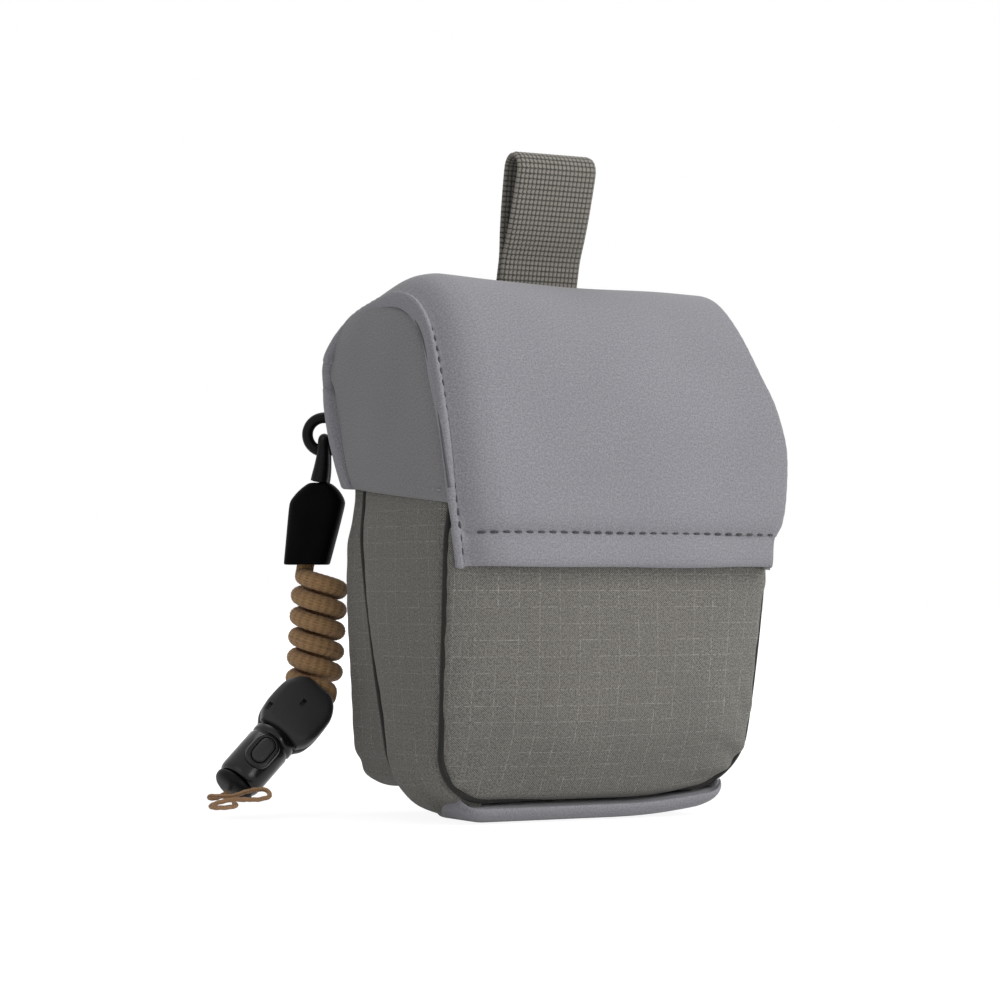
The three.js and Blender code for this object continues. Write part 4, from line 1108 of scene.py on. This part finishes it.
def lid_surface(s, x, lift):
    """Lid skin: the profile, crowned across, lifted by `lift`."""
    y, z, ny, nz = lid_at(s)
    up = lift + LID_CROWN * (1 - (x / LID_HALF) ** 2)
    return np.stack([x, y + ny * up, z + nz * up], axis=-1)


# Across the lid at each side: the welt from its tucked edge up to the stitches, then the pad
WELT_OUT = np.array([0.0, 0.8, 1.5, 1.85, 2.0, 2.0, 1.9, 1.6, 1.15, 0.7, 0.3])
WELT_SHARE = np.array([1, 1, 1, 1, 0.75, 0.5, 0.28, 0.12, 0, 0, 0])
WELT_FIX = np.array([-0.5, -0.5, -0.35, 0, 0, 0, 0, 0, 0.05, 0.2, 0.12])
PAD_E = np.array([0.22, 0.45, 0.75, 1.1, 1.5, 2.0, 2.6, 3.3, 4.2, 5.4, 7.0, 9.0])
GROOVE, PAD_EDGE, REAR_DROP, PEAK = 0.35, 10.0, 1.2, 2.1
# The skin over the hem, and the lip under it: how far they puff out, sink, turn in and are tucked
HEM_PUFF, HEM_SINK, HEM_REACH = 0.3, 1.9, 2.8
LIP_PUFF, LIP_TURN, LIP_TUCK, LIP_DROP, LIP_UNDER = 0.35, 1.2, 1.3, 0.5, 0.6
SEWN = {-1: SEWN_LEFT, 1: SEWN_RIGHT}
# Drop from the pad to the stitches, how far in the pad has come up, and the share of the welt's width
PADDED = {-1: (4.6, 4.2, 1.0), 1: (4.0, 0.55, 0.4)}


def sewn_drop(s, side):
    """How far the stitches lie under the pad."""
    return REAR_DROP + (PADDED[side][0] - REAR_DROP) * ramp(s, 0.06, 0.3)


def lid_side(s, side):
    """One side of the lid: distance in from the stitches, place across and height."""
    sewn, wide, deep = (along(table, s)[:, None] for table in (SEWN[side], WELT_WIDE, WELT_DEEP))
    _, slope, share = PADDED[side]
    drop = sewn_drop(s, side)[:, None]
    welt = WELT_FIX - deep * WELT_SHARE - drop
    pad = -drop * np.exp(-((PAD_E / slope) ** 1.5))
    lift = np.concatenate([welt, -drop - GROOVE, pad], axis=1)
    e = np.concatenate([-WELT_OUT * wide * share, 0 * wide, np.broadcast_to(PAD_E, pad.shape)], axis=1)
    return e, side * (sewn - e), lift


def left_sunk(x, s):
    """How far the left pad lies under the lid's height at x."""
    drop, slope, _ = PADDED[-1]
    return drop * np.exp(-((np.maximum(x + along(SEWN_LEFT, s), 0) / slope) ** 1.5))


def lid_grid(s, rise):
    """The lid's skin from welt to welt, and distance in from the stitches."""
    e0, x0, lift0 = lid_side(s, -1)
    e1, x1, lift1 = (v[:, ::-1] for v in lid_side(s, 1))
    across = np.linspace(0, 1, 61)
    inner = [along(SEWN[side], s)[:, None] - PAD_EDGE for side in (-1, 1)]
    middle = -inner[0] + (inner[0] + inner[1]) * across
    x = np.concatenate([x0, middle, x1], axis=1)
    e = np.concatenate([e0, 0 * middle + PAD_EDGE, e1], axis=1)
    lift = np.concatenate([lift0, 0 * middle, lift1], axis=1) + rise(s)[:, None] * ramp(e, -0.2, 2.0)
    lift = lift + PEAK * bump_at(x, -40.0, 16.0) * bump_at(s[:, None], 0.36, 0.12)
    return lid_surface(np.broadcast_to(s[:, None], x.shape), x, lift), e


def hem_rise(s):
    """How far the skin stands up or sinks above the hem."""
    e = (HEM_S - s) * LID_LEN
    return HEM_PUFF * roll(e, 4.0) - HEM_SINK * np.exp(-((np.maximum(e, 0) / HEM_REACH) ** 1.5))


LID_START, HEM_PART = 0.034, 0.03
hem_s = HEM_S - HEM_PART + HEM_PART * np.sin(np.linspace(0, np.pi / 2, 18)[1:])
lid_s = np.concatenate([np.linspace(LID_START, HEM_S - HEM_PART, 150), hem_s])
p, d = lid_grid(lid_s, hem_rise)
n = outward(p, (0, -0.5, 1))
p = soft(p, n, 0.75, 34.0, 2.0)
gather = np.cos(2 * np.pi * lid_s * LID_LEN / LID_STITCH[0])[:, None] * bump_at(d, 0.0, 1.0)
hem_fade = np.exp(-((HEM_S - lid_s) * LID_LEN / 1.6)[:, None])
hem_gather = np.cos(2 * np.pi * p[..., 0] / LID_STITCH[0]) * hem_fade
p = p + n * (0.12 * gather + 0.16 * hem_gather * ramp(d, 0.0, 2.0))[..., None]
lid_nodes = ["lid_panel", "lid_left_welt", "lid_right_welt", "lid_foam"]
lid_shell = link("lid_padded_shell", *slab(p, n, LID_T), KNIT, "lid", lid_nodes, "knit", 1)


def lip_rise(s):
    """The lip: tucked in under the hem and folded round at its lower edge."""
    e = (s - HEM_S) * LID_LEN
    last = (1 - s) * LID_LEN
    fold = LIP_PUFF * bump_at(e, 5.5, 3.2) - LIP_TURN * (1 - roll(last, 2.2))
    return fold - LIP_TUCK * np.exp(-np.maximum(e, 0) / 1.1) - LIP_DROP - LIP_UNDER * (e < 0)


lip_s = np.concatenate([
    [HEM_S - 0.012, HEM_S - 0.006, HEM_S], np.linspace(HEM_S + 0.004, 0.985, 14), [0.991, 0.996, 0.999, 1.0],
])
p, d = lid_grid(lip_s, lip_rise)
n = outward(p, (0, -1, 0))
p = soft(p, n, 0.5, 24.0, 12.0)
lip = link("lid_lip_fold", *slab(p, n, LIP_T), KNIT, "lid", ["lid_lip"], "knit", 1)
LINING_HALF, LINING_UNDER, LINING_T = 43.0, 4.2, 0.7
s_in, x_in = np.meshgrid(np.linspace(0.05, 0.99, 60), spread(30) * LINING_HALF, indexing="ij")
p = lid_surface(s_in, x_in, -LINING_UNDER - left_sunk(x_in, s_in))
n = outward(p, (0, -0.5, 1))
p = soft(p, n, 0.3, 18.0, 21.0)
lid_lining = link("lid_lining_cloth", *slab(p, n, LINING_T), LINING, "lid", ["lid_lining"], "lining")


def joined(rows):
    """Several rows of stitches as one piece."""
    points, faces, uvs, count = [], [], [], 0
    for q, f, t in rows:
        faces += [tuple(i + count for i in face) for face in f]
        points.append(q)
        uvs.append(t)
        count += len(q)
    return np.vstack(points), faces, np.vstack(uvs)


welt_rows = []
for side in (-1, 1):
    s = np.linspace(0.05, 0.985, 400)
    _, _, ny, nz = lid_at(s)
    line = lid_surface(s, side * along(SEWN[side], s), 0.1 - sewn_drop(s, side) - GROOVE)
    facing = unit(np.stack([0 * ny + 0.8 * side, ny, nz], axis=1))
    welt_rows.append(thread(line, facing, *LID_STITCH))
link("welt_stitches", *joined(welt_rows), THREAD, "lid")
hem_at = np.full(240, HEM_S - 0.002)
_, _, ny, nz = lid_at(hem_at)
x = np.linspace(3.6 - along(SEWN_LEFT, HEM_S), along(SEWN_RIGHT, HEM_S) - 0.8, 240)
line = lid_surface(hem_at, x, -1.5 - left_sunk(x, HEM_S))
link("hem_stitches", *thread(line, np.stack([0 * ny, ny, nz], axis=1), *LID_STITCH), THREAD, "lid")

# Cheeks: the lid's two sides, free along their rear edge and sloping hem
cheek_s = np.linspace(0, 1, 400)
profile = np.stack(lid_at(cheek_s), axis=1)
inner_curve = profile[:, :2] - profile[:, 2:] * along(CHEEK_IN, cheek_s)[:, None]
crest = int(np.argmax(inner_curve[:, 1]))
cheek_top = inner_curve[crest, 1] - 0.5
# How far the front and the hem are drawn in, and the height of the stitches over the hem
FRONT_TUCK, HEM_TUCK, HEM_STITCH = 1.7, 1.5, 2.6


def meet(line, z):
    """Where a line in (y, z) first comes to a height."""
    for (y0, z0), (y1, z1) in zip(line[:-1], line[1:]):
        if (z0 - z) * (z1 - z) <= 0 and z0 != z1:
            return y0 + (y1 - y0) * (z - z0) / (z1 - z0)
    return None


def cheek_row(side, share, w):
    """A row of the cheek, from its hem at share 0 to its top at 1, and its distance from the front."""
    z = CHEEK_HEM + (cheek_top - CHEEK_HEM) * share
    front = meet(inner_curve[crest:], z)
    over = meet(inner_curve[:crest + 1], z)
    rear = float(along(REAR_EDGE, z)) - 0.5
    rear = rear if over is None else min(rear, over)
    rise = CHEEK_RISE * w * (1 - share)
    span = rear - front + CHEEK_BACK * (1 - share)
    x = along(CHEEK_X[side], z + rise) + CHEEK_BULGE * (1 - (2 * w - 1) ** 2)
    return x, front + span * w, z + rise, span * w


def cheek_grid(side, rows_n=48, cols=34):
    """The cheek's skin, and height over its sloping hem."""
    w = (spread(cols) + 1) / 2
    shares = np.sin(np.linspace(0, np.pi / 2, rows_n))
    rows = [cheek_row(side, share, w) for share in shares]
    x, y, z, far = (np.array([row[k] for row in rows]) for k in range(4))
    under = (cheek_top - CHEEK_HEM) * (1 - shares)[:, None]
    x = x - FRONT_TUCK * np.exp(-far / 1.3) - HEM_TUCK * np.exp(-under / 1.5)
    return np.stack([side * x, y, z], axis=2), (z - CHEEK_HEM - CHEEK_RISE * w * (1 - shares)[:, None])


for name, side, node in (
    ("lid_left_cheek_knit", -1, "lid_left_cheek"), ("lid_right_cheek_knit", 1, "lid_right_cheek"),
):
    p, up = cheek_grid(side)
    n = outward(p, (side, 0, 0))
    p = soft(p, n, 0.6, 24.0, 15.0 + side)
    p = p - n * (0.35 * bump_at(up, HEM_STITCH, 0.6))[..., None]
    # The darker side knit gives the cheek painted shade
    cheek = link(name, *slab(p, n, CHEEK_T), SHADED_SIDE_KNIT, "lid", [node], "knit", 1)
    # A thin dark tube in the lining's colour along the cheek's top edge, under the welt: painted shade for
    # the shadow line at the seam there
    shares = np.sin(np.linspace(0.06, 1.5, 90))
    edge = np.array([cheek_row(side, share, np.zeros(1)) for share in shares])[:, :3, 0]
    edge = even(edge * [side, 1, 1] + [-1.2 * side, -0.2, 0.1], 120)
    link(name.replace("knit", "seam"), *tube(edge, 0.4, 8), LINING, "lid", (), "lining")
    w = np.linspace(0.04, 0.96, 140)
    x, y, z, _ = cheek_row(side, HEM_STITCH / (cheek_top - CHEEK_HEM), w)
    line = np.stack([side * (x - 0.1), y, z], axis=1)
    facing = np.repeat([[float(side), 0.0, 0.0]], len(w), axis=0)
    link(name + "_stitches", *thread(line, facing, *CHEEK_STITCH), PALE_THREAD, "lid")

# Upper back and the fold that the lid turns on
z = np.linspace(UPPER_Z0, UPPER_Z1, 34)[:, None]
half, edge = along(UPPER_HALF, z), along(REAR_EDGE, z)
corner = np.linspace(0, np.pi / 2, 16)
# Across it: flat, then round the corner, then a tongue tucked in behind the cheek's edge
side_x = np.concatenate([UPPER_ROLL * (np.sqrt(np.sin(corner)) - 1), [-1.2, -3.2, -3.7, -3.8]])
side_y = np.concatenate([np.sqrt(np.abs(np.cos(corner))), [0, 0, 0, 0]])
tongue = np.concatenate([0 * corner + 1.0, [0.3, -0.3, -1.6, -3.0]])
flat = np.linspace(-1, 1, 50)[1:-1]
x = np.concatenate([-(half + side_x)[:, ::-1], flat * (half - UPPER_ROLL), half + side_x], axis=1)
y = edge + tongue + (along(UPPER_OUT, z) - edge - 1.0) * side_y
y = np.concatenate([y[:, ::-1], 0 * z + 0 * flat + along(UPPER_OUT, z), y], axis=1)
p = np.stack([x, y, z + 0 * x], axis=2)
n = outward(p, (0, 1, 0))
p = soft(p, n, 0.5, 26.0, 31.0)
TONGUE_T = [0.6, 0.6, 0.7, 0.9]
upper_thick = np.concatenate([TONGUE_T, np.full(len(corner) * 2 + len(flat), UPPER_T), TONGUE_T[::-1]])
upper_nodes = ["upper_back_panel", "upper_back_pad"]
upper = link("upper_back_knit", *slab(p, n, upper_thick), KNIT, "pouch", upper_nodes, "knit", 1)
FOLD = [
    (0, 44, 111), (0, 44.9, 113), (0, 45.5, 115.2), (0, 45.9, 117.4), (0, 46, 119.6), (0, 45.2, 121.6),
    (0, 43.8, 122.6),
]
FOLD_HALF, FOLD_T = 50.6, 4.0
fold_line = catmull(FOLD, 6)
x = spread(70) * FOLD_HALF
p = np.stack(np.broadcast_arrays(x[None], fold_line[:, 1:2], fold_line[:, 2:3]), axis=2).copy()
p[..., 1] -= 2.5 * (1 - roll(FOLD_HALF + 0.1 - np.abs(p[..., 0]), 5.0))
n = outward(p, (0, 1, 0))
fold = link("hinge_fold_knit", *slab(p, n, FOLD_T), KNIT, None, ["hinge_fold"], "knit")
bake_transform(fold)


# Straps: height of the weave's threads, and how much thinner the edges are
WEAVE_RELIEF, EDGE_THIN = 0.16, 0.25


def strap(path, width, thick, rows_n, cols=81):
    """Woven strap on a path in (y, z): both faces carry the weave's relief."""
    line = even(np.array([(0, y, z) for y, z in path]), rows_n)
    t = unit(np.gradient(line, axis=0))
    n = np.stack([0 * t[:, 0], t[:, 2], -t[:, 1]], axis=1)
    xx, ss = np.meshgrid(np.linspace(-width / 2, width / 2, cols), length_of(line))
    relief = WEAVE_RELIEF * np.abs(np.sin(np.pi * xx / WEAVE_U) * np.sin(np.pi * ss / WEAVE_V)) ** 0.6
    side = ramp(width / 2 - np.abs(xx), 0, 1.0)
    mid = line[:, None] + np.stack([xx, 0 * xx, 0 * xx], axis=2)
    nn = np.broadcast_to(n[:, None], mid.shape)
    h = thick / 2 - WEAVE_RELIEF + relief * side - EDGE_THIN * (1 - side)
    return slab(mid + nn * h[..., None], nn, 2 * h, 0.35)


mouth = LOOP_GAP / 2
crown = LOOP_H - WEBBING_T - mouth
ply = WEBBING_T / 2
bend = mouth + ply
rising = [(ply, -0.6), (ply, 4), (ply + 0.05, 8.5), (ply + 1.2, 15), (ply + 2.1, 22)]
over = [(bend * math.cos(a), crown + bend * math.sin(a)) for a in np.linspace(0, math.pi, 15)]
drop = catmull([(0, a, b) for a, b in rising + over + [(-a, b) for a, b in rising[::-1]]], 10)[:, 1:]
lean = math.radians(LOOP_LEAN)
lean_c, lean_s = math.cos(lean), math.sin(lean)
loop_path = [
    (LOOP_FOOT[0] + a * lean_c - b * lean_s, LOOP_FOOT[1] + a * lean_s + b * lean_c) for a, b in drop
]
loop_form = strap(loop_path, WEBBING_W, WEBBING_T, 300)
hanger = link("webbing_loop_weave", *loop_form, STRAP, "hanger", ["webbing_loop"], "webbing")
belt_in = BACK_OUT + 0.3 + WEBBING_T / 2
belt_out = belt_in + BELT_GAP
belt_half = [
    (0, belt_in, BELT_Z0), (0, belt_in, BELT_Z0 + 3), (0, belt_in + 0.8, BELT_Z0 + 5.2),
    (0, belt_out - 0.8, BELT_Z0 + 8.8), (0, belt_out, BELT_Z0 + 12),
]
belt_turned = [(0, y, BELT_Z0 + BELT_Z1 - z) for _, y, z in belt_half[::-1]]
belt_path = catmull(belt_half + [(0, belt_out, (BELT_Z0 + BELT_Z1) / 2)] + belt_turned, 10)[:, 1:]
belt_form = strap(belt_path, BELT_W, WEBBING_T, 190, 109)
belt = link("belt_loop_weave", *belt_form, STRAP, "pouch", ["belt_loop"], "webbing")
foot_rows = []
for z in (BELT_Z0 + 1.4, BELT_Z0 + 3.4, BELT_Z1 - 3.4, BELT_Z1 - 1.4):
    x = np.linspace(2 - BELT_W / 2, BELT_W / 2 - 2, 60)
    line = np.stack(np.broadcast_arrays(x, belt_in + WEBBING_T / 2, z), axis=1)
    foot_rows.append(thread(line, np.repeat([[0.0, 1.0, 0.0]], len(x), axis=0), *BELT_STITCH))
link("belt_stitches", *joined(foot_rows), THREAD, "pouch")


def cloth(obj, width, length, held, rests_on):
    """Does nothing: the piece of cloth, its area as cut, how it is held and what it rests on are not used."""


cloth(liner, 310, 130, "stretched", ["mouth_binding_tape"])
cloth(lid_lining, 94, 172, "stretched", ["lid_padded_shell"])
cloth(hanger, 26, 90, "folded", ["lid_padded_shell"])
cloth(belt, 36, 66, "stretched", ["back_panel_cloth"])

for node in ("body_magnet_left", "body_magnet_right", "lid_magnet_left", "lid_magnet_right"):
    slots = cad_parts[node].data.materials
    slots.clear()
    slots.append(STEEL)


# Floor, backdrop and light, in metres
WORLD_LIGHT, FLOOR_PAINT, FLOOR_GLOW, FLOOR_REACH, FLOOR_Z = 0.3, 0.86, 1.3, 6.0, -0.0004
# Near and far distance from the pouch, and the floor's share of glow at each
FLOOR_FADE = (0.12, 0.3, 0.7, 1.0)
LAMP_AIM = Vector((0, 0, 0.07))


def seen(m):
    """1 for what the camera, a reflection or a glass sees."""
    rays = m.node("LightPath").outputs
    plain = m.calc("MAXIMUM", rays["Is Camera Ray"], rays["Is Glossy Ray"])
    return m.calc("MAXIMUM", plain, rays["Is Transmission Ray"])


def make_world():
    """White to the camera, dimmer as a light on the pouch."""
    world = bpy.data.worlds.new("studio")
    bpy.context.scene.world = world
    m = Nodes(world)
    sky = m.node("Background")
    sky.inputs["Color"].default_value = (1, 1, 1, 1)
    m.join(m.step(seen(m), 0.0, 1.0, WORLD_LIGHT, 1.0), sky.inputs["Strength"])
    m.join(sky.outputs[0], m.node("OutputWorld").inputs[0])


def make_floor():
    """Glows white to the camera, wholly so away from the pouch, and keeps a shadow near it."""
    material = bpy.data.materials.new("floor")
    m = Nodes(material)
    kinds = ("BsdfDiffuse", "Emission", "VectorMath", "MixShader")
    paint, glow, far, mixed = (m.node(kind) for kind in kinds)
    paint.inputs["Color"].default_value = (FLOOR_PAINT, FLOOR_PAINT, FLOOR_PAINT, 1)
    glow.inputs["Strength"].default_value = FLOOR_GLOW
    far.operation = "LENGTH"
    m.join(m.place(), far.inputs[0])
    share = m.times(seen(m), m.step(far.outputs["Value"], *FLOOR_FADE))
    for i, part in enumerate((share, paint.outputs[0], glow.outputs[0])):
        m.join(part, mixed.inputs[i])
    m.join(mixed.outputs[0], m.node("OutputMaterial").inputs[0])
    mesh = bpy.data.meshes.new("floor")
    corners = [(x * FLOOR_REACH, y * FLOOR_REACH, 0) for x, y in ((-1, -1), (1, -1), (1, 1), (-1, 1))]
    mesh.from_pydata(corners, [], [(0, 1, 2, 3)])
    mesh.materials.append(material)
    floor = placed("floor", mesh)
    floor.location = (0, 0, FLOOR_Z)


def lamp(name, place, size, power):
    """A round lamp aimed at the pouch."""
    data = bpy.data.lights.new(name, "AREA")
    data.shape, data.size, data.energy = "DISK", size, power
    obj = placed(name, data)
    obj.location = place
    obj.rotation_euler = (LAMP_AIM - Vector(place)).to_track_quat("-Z", "Y").to_euler()


make_world()
make_floor()
lamp("key", (0.85, -0.85, 0.95), 0.8, 9.6)
lamp("fill", (-1.1, -0.7, 0.5), 1.0, 1.6)
lamp("low", (0.3, -0.9, 0.07), 0.5, 3.0)
lamp("top", (0.0, 0.35, 1.3), 0.8, 3.6)

bpy.context.scene.view_settings.view_transform = "Standard"
